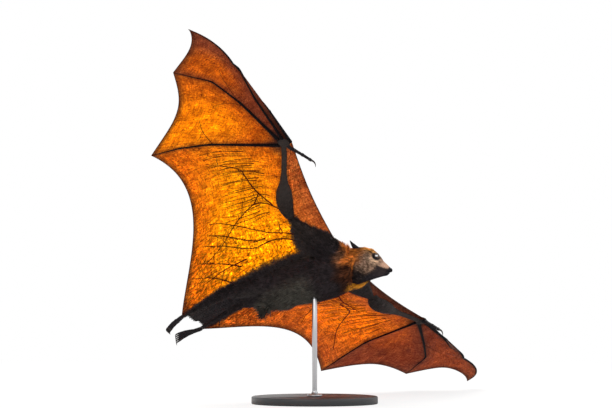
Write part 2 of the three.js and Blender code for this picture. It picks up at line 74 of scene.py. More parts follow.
SHOULDER_HALF = 26  # midline to each shoulder joint
HIP_BACK = 112  # shoulders to hips
HIP_HALF = 19  # midline to each hip joint
HUMERUS = 112
FOREARM = 163
THUMB = 42
DIGITS = {2: (84, 30), 3: (115, 84, 118), 4: (113, 68, 66), 5: (118, 49, 49)}

# Direction of each bone: (forward of straight out, above the body's horizontal plane), in degrees.
# pull and push steer the main web's free edge, from the fifth finger's tip and from the ankle.
WING_POSE = {
    "right": {
        "humerus": (-18, 15), "forearm": (19, 12.5), "lead": 12,
        "thumb_root": (8, -16, -4), "thumb": (90, -48),
        "bow": (9, 0.55), "sag": (0.047, 0.75), "pull": (67, -113, -19), "push": (53, 105, 23),
        2: ((7.5, 7.5), (-2, 6)),
        3: ((-0.5, 11), (5, 4.5), (-20, 13)),
        4: ((-14.5, 13.5), (-19, 11), (-45, 6)),
        5: ((-59, 0), (-57, -8.5), (-62, -14)),
    },
    "left": {
        "humerus": (0, 5), "forearm": (8.5, 12.5), "lead": 8,
        "thumb_root": (8, 0, -4), "thumb": (115, -48),
        "bow": (18, 0.85), "sag": (0.12, 1), "pull": (59, -203, -20), "push": (77, 40, -2),
        2: ((8.5, 3.5), (-5, 3)),
        3: ((2, 12.5), (0.5, 9.5), (-16.5, 11)),
        4: ((-16, 12.5), (-17, 13), (-49.5, 7.5)),
        5: ((-68.5, 9.5), (-67.5, -0.5), (-69, -3.5)),
    },
}
ROOTS = {3: (2.4, 1), 4: (-2.4, 1), 5: (-7, -1)}  # finger roots ahead of and above the wrist
SECOND_ABOVE = -1  # the second finger is rooted this far above the wrist, and ahead of it by the pose's lead
LEG_POSE = {  # (forward, outward, up)
    "right": {"knee": (-185, 42, -15), "ankle": (-263, 42, -33.5), "toes": (-291, 38, -45),
              "corner": (-253, 0.4, -22), "splay": 5},
    "left": {"knee": (-186, 30, 7), "ankle": (-258, 31, -17.5), "toes": (-299, 18, -27),
             "corner": (-249, 0.4, -21), "splay": 12},
}
HEADING, PITCH, BANK, BODY_HEIGHT = -14.5, 17.5, -31, 222
HEAD_HEADING, HEAD_PITCH, HEAD_BANK = -8, -20, -20
HEAD_AT = (40, -4, -10)
TRUNK = (  # (forward, up, half width, half depth), coat included
    (-152, -6, 12, 12), (-142, -7, 24, 22), (-124, -8, 34, 29), (-98, -8, 41, 34),
    (-68, -9, 45, 38), (-38, -10, 46, 41), (-12, -9, 43, 41), (12, -9.5, 38, 35.5),
)
SKULL_BACK = 45
HEAD = (  # (behind the nose tip, half width, top, bottom), coat included
    (1, 3.6, 0.8, -6), (3.5, 5.8, 2.8, -11), (11, 8.2, 6.6, -17), (20, 10.8, 12, -24.5),
    (30, 14.5, 18.2, -34), (40, 19, 22, -44), (50, 21.5, 21.5, -46), (61, 21, 17.5, -37), (71, 17, 12, -20),
)
JAW_NARROWING = 0.25
EYE_AT, EYE_RADIUS = (-30.6, 8.3, 7.5), 6.0
EAR_AT, EAR_LENGTH, EAR_WIDTH, EAR_SINK, EAR_CUP = (-64, 14, 8.5), 21, 14, 4, 3.5
EAR_LEAN, EAR_BASE = (-12.5, 9, 6), (1, 0, 0.3)
BASE_RADIUS, BASE_THICK, ROD_RADIUS = 100, 12, 4
ROD_UNDER, ROD_SINK = (-52, 0, -36), 10
WEB_START = 0.005  # share of the fingers' length at which the webs between them begin
SIDES = (("left", 1), ("right", -1))

# ---------------------------------------------------------------- vectors, curves and frames

PI = math.pi
UP = np.array([0.0, 0.0, 1.0])


def vec(*c):
    return np.array(c, float)


def unit(a):
    return a / np.maximum(np.linalg.norm(a, axis=-1, keepdims=True), 1e-9)


def mix(a, b, t):
    return a + (b - a) * t


def step(lo, hi, x):
    """0 below lo, 1 above hi, smooth between."""
    t = np.clip((x - lo) / (hi - lo), 0, 1)
    return t * t * (3 - 2 * t)


def bell(*offsets):
    """1 where every offset is 0, falling to 0 a few units away."""
    return np.exp(-sum(k**2 for k in offsets))


def over(under, colour, amount):
    """A colour laid over another, by the amount at each place."""
    return mix(under, colour, amount[..., None])


def turns(count):
    """Equal angles once round a circle."""
    return np.arange(count) / count * 2 * PI


def sided(p, side):
    return vec(p[0], side * p[1], p[2])


def turn(heading, pitch, bank):
    """A turn by heading, then nose up by pitch, then left wing up by bank, in degrees."""
    h, p, b = np.radians([heading, -pitch, bank])
    rz = np.array([[math.cos(h), -math.sin(h), 0], [math.sin(h), math.cos(h), 0], [0, 0, 1]])
    ry = np.array([[math.cos(p), 0, math.sin(p)], [0, 1, 0], [-math.sin(p), 0, math.cos(p)]])
    rx = np.array([[1, 0, 0], [0, math.cos(b), -math.sin(b)], [0, math.sin(b), math.cos(b)]])
    return rz @ ry @ rx


def direction(lean, side):
    f, u = np.radians(lean)
    return vec(math.sin(f) * math.cos(u), side * math.cos(f) * math.cos(u), math.sin(u))


class Path:
    """A curve through close points, read by its share of the length."""

    def __init__(self, points):
        self.points = np.asarray(points, float)
        steps = np.linalg.norm(np.diff(self.points, axis=0), axis=1)
        self.far = np.concatenate([[0], np.cumsum(steps)])
        self.length = self.far[-1]

    def __call__(self, t):
        s = np.asarray(t, float) * self.length
        return np.stack([np.interp(s, self.far, self.points[:, k]) for k in range(3)], -1)


def bezier(*p, n=24):
    """Points of the Bezier curve with the given controls."""
    t = np.linspace(0, 1, n)[:, None]
    rows = [np.asarray(q, float)[None] for q in p]
    while len(rows) > 1:
        rows = [mix(a, b, t) for a, b in zip(rows, rows[1:])]
    return rows[0]


def through(points, n=16):
    """Points of a smooth curve through the given ones, as many to each span."""
    p = [np.asarray(q, float) for q in points]
    p = [2 * p[0] - p[1]] + p + [2 * p[-1] - p[-2]]
    out = [p[1][None]]
    for a, b, c, d in zip(p, p[1:], p[2:], p[3:]):
        t = np.linspace(0, 1, n + 1)[1:, None]
        cubic = (3 * b - a - 3 * c + d) * t**3
        out.append(0.5 * (2 * b + (c - a) * t + (2 * a - 5 * b + 4 * c - d) * t**2 + cubic))
    return np.concatenate(out)


BODY_TURN = turn(HEADING, PITCH, BANK)
HEAD_TURN = BODY_TURN.T @ turn(HEAD_HEADING, HEAD_PITCH, HEAD_BANK)
rod_from_body = BODY_TURN @ np.array(ROD_UNDER, float)
BODY_AT = vec(-rod_from_body[0], -rod_from_body[1], BODY_HEIGHT)
ROD_TOP = BODY_HEIGHT + rod_from_body[2] + ROD_SINK


def to_world(p):
    """From the body's frame, in mm, to the model's frame, in metres."""
    return (p @ BODY_TURN.T + BODY_AT) / 1000


def head_point(p):
    """From the head's frame, behind, beside and above the nose tip, to the body's frame."""
    return (np.asarray(p, float) + vec(SKULL_BACK, 0, 0)) @ HEAD_TURN.T + np.array(HEAD_AT, float)


# ---------------------------------------------------------------- the skeleton

def finger_path(points, bow=(0, 0.55)):
    """Nearly straight bones with a soft turn at each knuckle, the last one bowed forward."""
    soft, rows, start = 0.12, [], points[0]
    for before, at, after in zip(points, points[1:], points[2:]):
        a, b = mix(at, before, soft), mix(at, after, soft)
        rows += [bezier(start, a, n=12)[:-1], bezier(a, at, b, n=8)[:-1]]
        start = b
    tip = points[-1]
    rows.append(bezier(start, mix(start, tip, bow[1]) + vec(2 * bow[0], 0, 0), tip))
    return Path(np.concatenate(rows))


def make_wing(name, side):
    pose = WING_POSE[name]
    shoulder = vec(0, side * SHOULDER_HALF, 0)
    elbow = shoulder + direction(pose["humerus"], side) * HUMERUS
    wrist = elbow + direction(pose["forearm"], side) * FOREARM
    joints, fingers = {}, {}
    for digit, lengths in DIGITS.items():
        ahead, above = ROOTS.get(digit, (pose["lead"], SECOND_ABOVE))
        points, at = [wrist + vec(ahead, 0, above)], wrist
        for length, lean in zip(lengths, pose[digit]):
            at = at + direction(lean, side) * length
            points.append(at)
        joints[digit] = points
        fingers[digit] = finger_path(points, *([pose["bow"]] if digit == 3 else []))
    lower = Path(bezier(elbow, mix(elbow, wrist, 0.22) - vec(17, 0, 2), mix(elbow, wrist, 0.67), wrist, n=60))
    upper = Path(bezier(shoulder, mix(shoulder, elbow, 0.5) - vec(10, 0, 0), elbow, n=60))
    legs = {k: sided(LEG_POSE[name][k], side) for k in ("knee", "ankle", "toes", "corner")}
    legs["splay"] = LEG_POSE[name]["splay"]
    legs["hip"] = vec(-HIP_BACK, side * HIP_HALF, -6)
    return {
        **pose, **legs, "name": name, "side": side, "shoulder": shoulder, "elbow": elbow, "wrist": wrist,
        "lower": lower, "upper": upper, "joints": joints, "fingers": fingers,
        "thumb_way": direction(pose["thumb"], side),
    }


def arm_point(w, t):
    """A point along the arm, from the wrist at 0 to the shoulder at 1."""
    bend = FOREARM / (FOREARM + HUMERUS)
    t = np.asarray(t, float)
    lower = w["lower"](1 - np.minimum(t / bend, 1))
    t = t[..., None]
    return np.where(t < bend, lower, mix(w["elbow"], w["shoulder"], (t - bend) / (1 - bend)))


def curve_at(rows, t):
    """A curve read by its own parameter, from equally spaced rows."""
    x = np.asarray(t, float) * (len(rows) - 1)
    i = np.clip(np.floor(x).astype(int), 0, len(rows) - 2)
    return mix(rows[i], rows[i + 1], (x - i)[..., None])


def same_shape(u, v):
    """Both as arrays of one shape."""
    return np.broadcast_arrays(np.asarray(u, float), np.asarray(v, float))


def main_web(w):
    """The web from the fifth finger to flank and leg: u runs wrist to shoulder, v arm to free edge."""
    side, tip, ankle = w["side"], w["joints"][5][3], w["ankle"]
    edge = bezier(tip, tip + sided(w["pull"], side), ankle + sided(w["push"], side), ankle, n=160)
    body = through([w["shoulder"], vec(-50, side * 28, 6), w["hip"], w["knee"], w["ankle"]], 40)
    last = w["fingers"][5]

    def shape(u, v):
        u, v = same_shape(u, v)
        u3, v3 = u[..., None], v[..., None]
        finger = last(v) - vec(ROOTS[5][0], 0, ROOTS[5][1]) * (1 - v3) ** 20
        p = mix(arm_point(w, u), curve_at(edge, u), v3) + mix(finger, curve_at(body, v), u3)
        corners = mix(mix(w["wrist"], w["shoulder"], u3), mix(tip, ankle, u3), v3)
        return p - corners + UP * (9 * np.sin(PI * u) * np.sin(PI * v))[..., None]

    return shape


def hand_web(inner, outer, sag, billow):
    """The web between two fingers: u runs across it, v from the wrist to the free edge."""
    depth, lean = sag

    def shape(u, v):
        u, v = same_shape(u, v)
        bow = np.sin(PI * u**lean)
        t = mix(WEB_START, 1, v) * (1 - depth * bow)
        p = mix(inner(t), outer(t), u[..., None])
        return p + UP * (billow * bow * np.sin(PI * np.minimum(t, 0.9)))[..., None]

    return shape


def front_web(w):
    """The web ahead of the arm: u runs shoulder to wrist, v arm to free edge."""
    root, reach = vec(10, w["side"] * 44, 8), w["wrist"] + vec(w["lead"] + 1.5, 0, -1)

    def shape(u, v):
        u, v = same_shape(u, v)
        edge = mix(root, reach, u[..., None]) - vec(6, 0, 0) * np.sin(PI * u)[..., None]
        return mix(arm_point(w, 1 - mix(0.04, 0.985, u)), edge, v[..., None])

    return shape


def leg_web(w):
    """The narrow flap on the inner side of the leg: u runs hip to ankle, v leg to free edge."""
    side = w["side"]
    bone = through([w["hip"], w["knee"], w["ankle"]], 40)
    edge = np.stack([vec(-146, side * 0.4, -8), w["corner"]])

    def shape(u, v):
        u, v = same_shape(u, v)
        return mix(curve_at(bone, mix(0.25, 0.94, u)), curve_at(edge, u), v[..., None])

    return shape


WINGS = {name: make_wing(name, side) for name, side in SIDES}
# ---------------------------------------------------------------- camera

CAMERA_DOWN = 2  # degrees
CAMERA_FAR = 30.0  # metres from the model, as a long lens stands
MM_PER_PIXEL, PIXELS_WIDE = 1.581, 612
CAMERA_AIM = (-0.0137, 0.0111, 0.3157)


def make_camera():
    data = bpy.data.cameras.new("camera")
    field = MM_PER_PIXEL * PIXELS_WIDE / 1000
    data.lens = data.sensor_width * CAMERA_FAR / field
    data.clip_end = 200
    cam = put("camera", data)
    down = math.radians(CAMERA_DOWN)
    aim = np.array(CAMERA_AIM)
    cam.location = aim - CAMERA_FAR * np.array([0, math.cos(down), -math.sin(down)])
    cam.rotation_euler = (PI / 2 - down, 0, 0)
    scene.camera = cam


make_camera()

# ---------------------------------------------------------------- building meshes

class Pieces:
    """Parts of one mesh, in the body's frame: points, faces, a colour and a pattern place at each point."""

    def __init__(self):
        self.points, self.faces, self.tints, self.grains, self.count = [], [], [], [], 0

    def add(self, points, faces, tint, grain=None):
        points = np.asarray(points, float).reshape(-1, 3)
        n = len(points)
        self.points.append(points)
        self.faces += [np.asarray(f, np.int64) + self.count for f in faces if len(f)]
        self.tints.append(np.broadcast_to(np.asarray(tint, float), (n, 3)))
        self.grains.append(np.zeros((n, 3)) if grain is None else np.asarray(grain, float).reshape(-1, 3))
        self.count += n

    def build(self, name, material, slot, replaced=(), place=to_world):
        me = bpy.data.meshes.new(name)
        co = place(np.concatenate(self.points)).astype(np.float32)
        totals = np.concatenate([np.full(len(f), f.shape[1]) for f in self.faces])
        loops = np.concatenate([f.ravel() for f in self.faces])
        me.vertices.add(len(co))
        me.vertices.foreach_set("co", co.ravel())
        me.loops.add(len(loops))
        me.loops.foreach_set("vertex_index", loops.astype(np.int32))
        me.polygons.add(len(totals))
        starts = np.concatenate([[0], np.cumsum(totals)[:-1]])
        me.polygons.foreach_set("loop_start", starts.astype(np.int32))
        me.update(calc_edges=True)
        paint(me, "tint", np.concatenate(self.tints))
        grain = me.attributes.new("grain", "FLOAT_VECTOR", "POINT")
        grain.data.foreach_set("vector", np.concatenate(self.grains).astype(np.float32).ravel())
        me.shade_smooth()
        me.validate()
        me.materials.append(material)
        ob = put(name, me)
        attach(ob, "root")
        if replaced:
            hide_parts(*replaced)
        return ob


def paint(me, name, rgb):
    layer = me.attributes.new(name, "FLOAT_COLOR", "POINT")
    rgba = np.ones((len(rgb), 4), np.float32)
    rgba[:, :3] = rgb
    layer.data.foreach_set("color", rgba.ravel())


def outward(points, faces):
    """The faces, turned over if the closed mesh is inside out."""
    volume = 0.0
    for f in faces:
        a, b, c = points[f[:, 0]], points[f[:, 1]], points[f[:, 2]]
        volume += np.einsum("ij,ij->", a, np.cross(b, c))
        if f.shape[1] == 4:
            volume += np.einsum("ij,ij->", a, np.cross(c, points[f[:, 3]]))
    return faces if volume > 0 else [f[:, ::-1] for f in faces]


def grid_faces(rows, columns, closed):
    """Quads between rows of points. A closed grid's rows are rings."""
    j = np.arange(columns if closed else columns - 1)
    k = (j + 1) % columns
    i = np.arange(rows - 1)[:, None] * columns
    return np.stack([i + j, i + k, i + columns + k, i + columns + j], -1).reshape(-1, 4)


def loft(rings, start=None, end=None):
    """A closed mesh over rings of points, with one more point at each end."""
    rings = np.asarray(rings, float)
    m, n, _ = rings.shape
    start = rings[0].mean(0) if start is None else start
    end = rings[-1].mean(0) if end is None else end
    points = np.concatenate([rings.reshape(-1, 3), [start, end]])
    j = np.arange(n)
    k = (j + 1) % n
    last = (m - 1) * n
    caps = np.concatenate([
        np.stack([np.full(n, m * n), k, j], -1),
        np.stack([np.full(n, m * n + 1), last + j, last + k], -1),
    ])
    return points, outward(points, [grid_faces(m, n, True), caps])


def ring_frames(centres, up=UP):
    """The tangent and two cross directions at each point of a curve."""
    tangent = unit(np.gradient(centres, axis=0))
    across = unit(np.cross(tangent, np.broadcast_to(up, tangent.shape)))
    return tangent, across, np.cross(across, tangent)


def tube(centres, radii, sides=12, up=UP, depth=None):
    """A rounded rod along a curve, with the given half width, and half depth, at each point."""
    centres = np.asarray(centres, float)
    radii = np.broadcast_to(np.asarray(radii, float), len(centres))
    depth = radii if depth is None else np.broadcast_to(np.asarray(depth, float), len(centres))
    tangent, across, along = ring_frames(centres, up)
    a = turns(sides)
    rings = (
        centres[:, None]
        + across[:, None] * (np.cos(a)[None, :, None] * radii[:, None, None])
        + along[:, None] * (np.sin(a)[None, :, None] * depth[:, None, None])
    )
    return loft(rings, centres[0] - tangent[0] * radii[0] * 0.5, centres[-1] + tangent[-1] * radii[-1] * 0.5)


def table(x, rows, column, soften=0.0):
    """A column of a table of sections, read at x and rounded off between the rows."""
    rows = np.asarray(rows, float)
    rows = rows[np.argsort(rows[:, 0])]
    shifts = np.linspace(-1, 1, 7) * soften
    weights = np.exp(-((np.linspace(-1, 1, 7) * 1.5) ** 2))
    found = [np.interp(x + s, rows[:, 0], rows[:, column]) * k for s, k in zip(shifts, weights)]
    return sum(found) / weights.sum()


def normals_of(points, faces):
    """Smooth unit normals at the points of a mesh."""
    total = np.zeros_like(points)
    for f in faces:
        n = np.cross(points[f[:, 2]] - points[f[:, 0]], points[f[:, -1]] - points[f[:, 1]])
        if f.shape[1] == 3:
            n = np.cross(points[f[:, 1]] - points[f[:, 0]], points[f[:, 2]] - points[f[:, 0]])
        for k in range(f.shape[1]):
            for c in range(3):
                total[:, c] += np.bincount(f[:, k], n[:, c], len(points))
    return unit(total)


def grid_normals(p):
    du, dv = np.gradient(p, axis=0), np.gradient(p, axis=1)
    return unit(np.cross(du, dv))


def unit_grid(rows, columns):
    """Shares from 0 to 1, each way over a grid."""
    return np.meshgrid(np.linspace(0, 1, rows), np.linspace(0, 1, columns), indexing="ij")


def thin_sheet(p, half):
    """A closed sheet on both sides of a grid of points, with half its thickness at each."""
    rows, columns = half.shape
    n = grid_normals(p) * half[..., None]
    m = rows * columns
    flat = grid_faces(rows, columns, False)
    index = np.arange(m).reshape(rows, columns)
    loop = np.concatenate([index[:, 0], index[-1, 1:], index[-2::-1, -1], index[0, -2:0:-1]])
    after = np.roll(loop, -1)
    wall = np.stack([loop, after, after + m, loop + m], -1)
    points = np.concatenate([(p + n).reshape(-1, 3), (p - n).reshape(-1, 3)])
    return points, outward(points, [flat[:, ::-1], flat + m, wall[:, ::-1]])


def ring_tints(tones, sides):
    """A colour for each ring of a loft, and for the points at its two ends."""
    return np.concatenate([np.repeat(tones, sides, axis=0), tones[[0, -1]]])


# ---------------------------------------------------------------- colours, linear

NIGHT = vec(0.011, 0.009, 0.011)  # bare black skin
COAT_DARK = vec(0.033, 0.026, 0.028)
COAT_BACK = vec(0.060, 0.044, 0.033)
COAT_BELLY = vec(0.068, 0.064, 0.054)
RUFOUS = vec(0.62, 0.18, 0.030)
GOLD = vec(0.86, 0.37, 0.06)
# painted rim light: fur on the far side of throat and neck as it looks lit from behind
SUNLIT = vec(0.92, 0.38, 0.035)
FACE = vec(0.36, 0.22, 0.145)
FACE_DARK = vec(0.006, 0.0055, 0.008)
SNOUT = vec(0.66, 0.39, 0.27)
CREAM = vec(0.62, 0.42, 0.27)
PUPIL = vec(0.003, 0.002, 0.002)
IRIS = vec(0.050, 0.020, 0.007)
EYE_RIM = vec(0.006, 0.004, 0.004)
RUSSET = vec(0.46, 0.105, 0.018)
BROWN = vec(0.21, 0.054, 0.024)
UMBER = vec(0.14, 0.036, 0.016)
VESSEL = vec(0.13, 0.014, 0.004)
HORN = vec(0.050, 0.042, 0.038)

# ---------------------------------------------------------------- wings

WEB_HALF = 0.42  # half the thickness of the web
RIM = 0.62  # radius of the firm cord along each free edge

SMALL_VESSELS = 26
HAND = ("2_3", "3_4", "4_5")
WEBS = {  # each web's faces across and down, the height of its folds, and its rough width and length in mm
    "front": (90, 26, 0.2, 190, 45), "2_3": (14, 60, 0.2, 25, 110), "3_4": (70, 96, 0.4, 110, 290),
    "4_5": (76, 88, 0.45, 150, 230), "main": (140, 120, 0.55, 270, 230), "leg": (50, 14, 0.2, 130, 25),
}

# A painted glow: the light that shines through each web from behind, painted into its colour, brightest where
# most light comes through.
# For each web: middle across, middle down, spread across, spread down, with the colour there and the colour
# round it.
PAINTED_GLOW = {
    ("right", "front"): (0.5, 0.10, 0.5, 0.6, vec(0.68, 0.21, 0.035), vec(0.46, 0.125, 0.028)),
    ("right", "2_3"): (0.5, 0.9, 0.6, 0.4, vec(0.20, 0.058, 0.032), UMBER * 0.35),
    ("right", "3_4"): (0.66, 0.80, 0.42, 0.34, vec(0.58, 0.140, 0.005), vec(0.32, 0.075, 0.028)),
    ("right", "4_5"): (0.66, 0.72, 0.48, 0.44, vec(0.90, 0.335, 0.002), vec(0.60, 0.150, 0.006)),
    ("right", "main"): (0.62, 0.46, 0.60, 0.50, vec(0.99, 0.46, 0.002), vec(0.70, 0.190, 0.006)),
    ("right", "leg"): (0.5, 0.5, 0.5, 0.5, NIGHT * 1.5, NIGHT * 1.5),
    ("left", "front"): (0.45, 0.3, 0.4, 0.5, vec(0.21, 0.055, 0.026), UMBER * 0.7),
    ("left", "2_3"): (0.5, 0.9, 0.6, 0.4, BROWN * 0.7, UMBER * 0.3),
    ("left", "3_4"): (0.5, 0.85, 0.6, 0.4, vec(0.44, 0.110, 0.030), vec(0.36, 0.090, 0.036)),
    ("left", "4_5"): (0.60, 0.45, 0.40, 0.34, vec(0.56, 0.150, 0.022), vec(0.36, 0.085, 0.028)),
    ("left", "main"): (0.28, 0.50, 0.34, 0.36, vec(0.98, 0.35, 0.004), vec(0.64, 0.190, 0.022)),
    ("left", "leg"): (0.5, 0.5, 0.5, 0.5, NIGHT * 1.5, NIGHT * 1.5),
}

# The larger blood vessels of the main web, each through a few (across, down) places.
VESSELS = {
    "right": (
        ((0.80, 0.02), (0.78, 0.15), (0.73, 0.33), (0.64, 0.51), (0.54, 0.84)),
        ((0.55, 0.02), (0.52, 0.14), (0.50, 0.39), (0.57, 0.58), (0.71, 0.75), (0.76, 0.86)),
        ((0.52, 0.14), (0.44, 0.28), (0.37, 0.36), (0.29, 0.41), (0.23, 0.44), (0.20, 0.56), (0.18, 0.70)),
        ((0.88, 0.12), (0.80, 0.27), (0.76, 0.41), (0.76, 0.57), (0.70, 0.76), (0.64, 0.91)),
        ((0.99, 0.66), (0.93, 0.73), (0.86, 0.83), (0.79, 0.97)),
        ((0.73, 0.42), (0.72, 0.52), (0.66, 0.70), (0.60, 0.86)),
        ((0.50, 0.39), (0.45, 0.33), (0.41, 0.30)),
        ((0.86, 0.64), (0.80, 0.78), (0.73, 0.92)),
        ((0.82, 0.60), (0.85, 0.72), (0.88, 0.86)),
    ),
    "left": (
        ((0.74, 0.06), (0.68, 0.28), (0.54, 0.35), (0.44, 0.36), (0.37, 0.37), (0.30, 0.36)),
        ((0.50, 0.36), (0.47, 0.41), (0.35, 0.43), (0.28, 0.52), (0.18, 0.72), (0.07, 0.84)),
        ((0.62, 0.33), (0.60, 0.50), (0.48, 0.68), (0.40, 0.88)),
        ((0.60, 0.50), (0.66, 0.66), (0.62, 0.86)),
        ((0.92, 0.40), (0.86, 0.60), (0.80, 0.86)),
        ((0.24, 0.04), (0.22, 0.18), (0.24, 0.36)),
    ),
}


def near_bone(places, lines, reach=3.0):
    """1 on any of the lines, falling to 0 a few reaches away from it."""
    out = np.zeros(places.shape[:-1])
    flat = places.reshape(-1, 3)
    for line in lines:
        marks = line(np.linspace(0, 1, 60))
        d2 = ((flat**2).sum(1)[:, None] + (marks**2).sum(1)[None] - 2 * flat @ marks.T).min(1)
        out = np.maximum(out, np.exp(-np.sqrt(np.maximum(d2, 0)) / reach).reshape(out.shape))
    return out


def crease(u, v, rng, count, size):
    """Fine slack folds across a web, as height in mm."""
    out = 0
    for _ in range(count):
        lean, waves, start = rng.uniform(-0.35, 0.35), rng.uniform(7, 16), rng.uniform(0, 2 * PI)
        out = out + np.sin(2 * PI * waves * (u + lean * v + 0.04 * np.sin(5 * v + start)) + start)
    return out * size / count


def add_sheet(mesh, shape, across, down, colour, relief, wide, long):
    """A thin closed sheet over a surface, thinning to its free edge at v = 1."""
    u, v = unit_grid(across + 1, down + 1)
    p = shape(u, v)
    p = p + grid_normals(p) * relief(u, v)[..., None]
    points, faces = thin_sheet(p, WEB_HALF * (1 - 0.5 * step(0.9, 1, v)))
    tint = colour(u, v, p).reshape(-1, 3)
    grain = np.stack([u * wide, v * long, np.zeros_like(u)], -1).reshape(-1, 3) / 1000
    mesh.add(points, faces, np.concatenate([tint, tint]), np.concatenate([grain, grain]))


def vein_marks(places):
    """Close (across, down) places on a smooth line through the given ones."""
    return through([vec(a, b, 0) for a, b in places], 10)


def web_normals(shape, u, v):
    """Unit normals of a web at places in it."""
    h = 0.004
    return unit(np.cross(shape(u + h, v) - shape(u - h, v), shape(u, v + h) - shape(u, v - h)))


def add_vein(mesh, web, places, thick, thin, tint):
    """A tapering ridge that follows a web through the given (across, down) places."""
    shape, relief, shore = web
    marks = vein_marks(places)
    u, v = marks[:, 0], marks[:, 1]
    centres = shape(u, v) + web_normals(shape, u, v) * relief(u, v)[:, None]
    points, faces = tube(centres, np.linspace(thick, thin, len(centres)), 6)
    mesh.add(points, faces, over(tint, COAT_DARK, fur_reach(points, shore)))  # lost where the coat covers it


def add_finger(mesh, w, digit):
    """A finger: a tapering rod with a swelling at each knuckle."""
    line, joints = w["fingers"][digit], w["joints"][digit]
    lengths = np.linalg.norm(np.diff(np.array(joints), axis=0), axis=1)
    t = np.linspace(0, 1, 110)
    r = mix(2.75, 1.05, t**0.8) - 0.12
    for knuckle in np.cumsum(lengths)[:-1] / lengths.sum():
        r = r + 0.45 * bell((t - knuckle) / 0.018)
    r = r * (1 - 0.45 * step(0.9, 1, t))
    tones = over(NIGHT, UMBER, 0.6 * step(0.75, 1.0, t))
    mesh.add(*tube(line(t), r, 12), ring_tints(tones, 12))


def fur_reach(p, shore):
    """How far the coat runs out on a web at places in it: 1 at the body, 0 past the end of the coat."""
    flat = p.reshape(-1, 3)
    x, y = flat[:, 0], flat[:, 1]
    off = np.array([shore.find(q)[2] for q in flat.tolist()])
    ragged = 1.2 * np.sin(x * 0.31 + 2 * np.sin(y * 0.2)) + 0.8 * np.sin(x * 0.9 + 1)
    behind = step(-90, -190, x)
    right = step(5, -5, y)
    most = mix(15, 26, right)  # the right flank's fringe is the longer one
    reach = mix(mix(15, most, step(10, -50, x)), mix(7, 9, right), behind)
    reach = reach + right * (5 * bell((x + 108) / 16) - 4 * bell((x + 60) / 18))
    reach = reach * mix(1, 0.2, step(60, 108, np.abs(y)) * step(-100, -60, x))
    return (1 - step(0.45, 1.0, (off + ragged * (1 - 0.5 * behind)) / reach)).reshape(p.shape[:-1])


def web_colour(name, web, bones, shore):
    """What colours a web: its painted glow of the light through it, painted shade by its bones, the dark of
    its wedge and hem, and the coat at its root.
    """
    across, down, wide, long, core, rim = PAINTED_GLOW[name, web]
    lead_width = 0.13 if name == "right" else 0.2

    def colour(u, v, p):
        out = over(rim, core, step(0.1, 0.95, bell((u - across) / wide, (v - down) / long)))
        # Painted shade along the bones, which hold back the light from behind, and partly the thicker dark
        # skin there.
        out = over(out, UMBER, 0.75 * near_bone(p, bones, 5.5))
        thinning = v if web in HAND else 0.8 + 0 * v
        near = near_bone(p, bones, 3.0) ** mix(0.45, 1.5, step(0.0, 0.75, thinning))
        out = over(out, NIGHT * 1.5, 0.9 * step(0.3, 0.75, near))
        if web in ("main", "front"):
            rng = np.random.default_rng(31)
            grains = rng.normal(0, 1, u.shape) * mix(0.14, 0.44, step(0.45, 0.85, u))
            out = out * np.clip(1 + grains, 0.35, 1.9)[..., None]
            fur = fur_reach(p, shore)
            out = over(over(out, BROWN, 0.9 * np.sqrt(fur)), COAT_DARK, fur**1.5)
        if web in ("3_4", "4_5", "main"):  # the dark wedge where the fingers spread from the wrist
            wedge = 1 - step(0.02, 0.17, v if web != "main" else np.hypot(u, v) * 1.3)
            out = over(out, NIGHT * 2, 0.85 * wedge)
        if web == "2_3":  # dark along the wing's leading edge, from the wrist to the second finger's tip
            out = over(out, UMBER * 0.35, 0.85 * (1 - step(0.05, 0.85, v + 0.35 * u)))
        if web == "3_4":  # skin behind the leading edge is thick and dark too
            out = over(out, UMBER * 0.35, 0.72 * (bell(u / lead_width) * (1 - step(0.35, 0.85, v))))
        hem = NIGHT if web == "leg" else UMBER * 0.8
        return over(out, hem, 0.8 * step(0.93, 1, v) ** 1.5)

    return colour


def free_edge(mesh, shape):
    """The firm cord along a web's free edge."""
    u = np.linspace(0, 1, 90)
    mesh.add(*tube(shape(u, np.full_like(u, 0.998)), RIM * (0.75 + 0.25 * np.sin(PI * u)), 8), BROWN * 0.5)


def web_shapes(w):
    """Each web's surface, and the bones that it hangs on."""
    f, j3 = w["fingers"], w["joints"][3]
    arm = Path(arm_point(w, np.linspace(0, 1, 60)))
    leg = Path(np.array([w["hip"], w["knee"], w["ankle"]]))
    thumb = Path(np.array([w["wrist"], thumb_line(w)[0]]))
    short = finger_path([j3[0], j3[1], mix(j3[1], j3[2], 0.9)])
    return {
        "front": (front_web(w), (arm, thumb)),
        "2_3": (hand_web(f[2], short, (0.02, 1), 0), (f[2], f[3])),
        "3_4": (hand_web(f[3], f[4], w["sag"], 7), (f[3], f[4])),
        "4_5": (hand_web(f[4], f[5], (0.11, 1), 9), (f[4], f[5])),
        "main": (main_web(w), (f[5], arm, leg)),
        "leg": (leg_web(w), (leg,)),
    }


def web_relief(web, seed):
    """The height of a web's folds, in mm, at places in it."""

    def relief(u, v):
        hold = np.sin(PI * np.clip(u, 0, 1)) * np.sin(PI * np.clip(v, 0, 1))
        folds = crease(u, v, np.random.default_rng(seed), 3, WEBS[web][2])
        if web == "main":
            ribs = np.sin(2 * PI * 15 * (u - 0.05 * v)) * bell((u - 0.32) / 0.22)
            folds = folds + 0.5 * ribs * step(0.15, 0.4, v)
        return hold * folds

    return relief


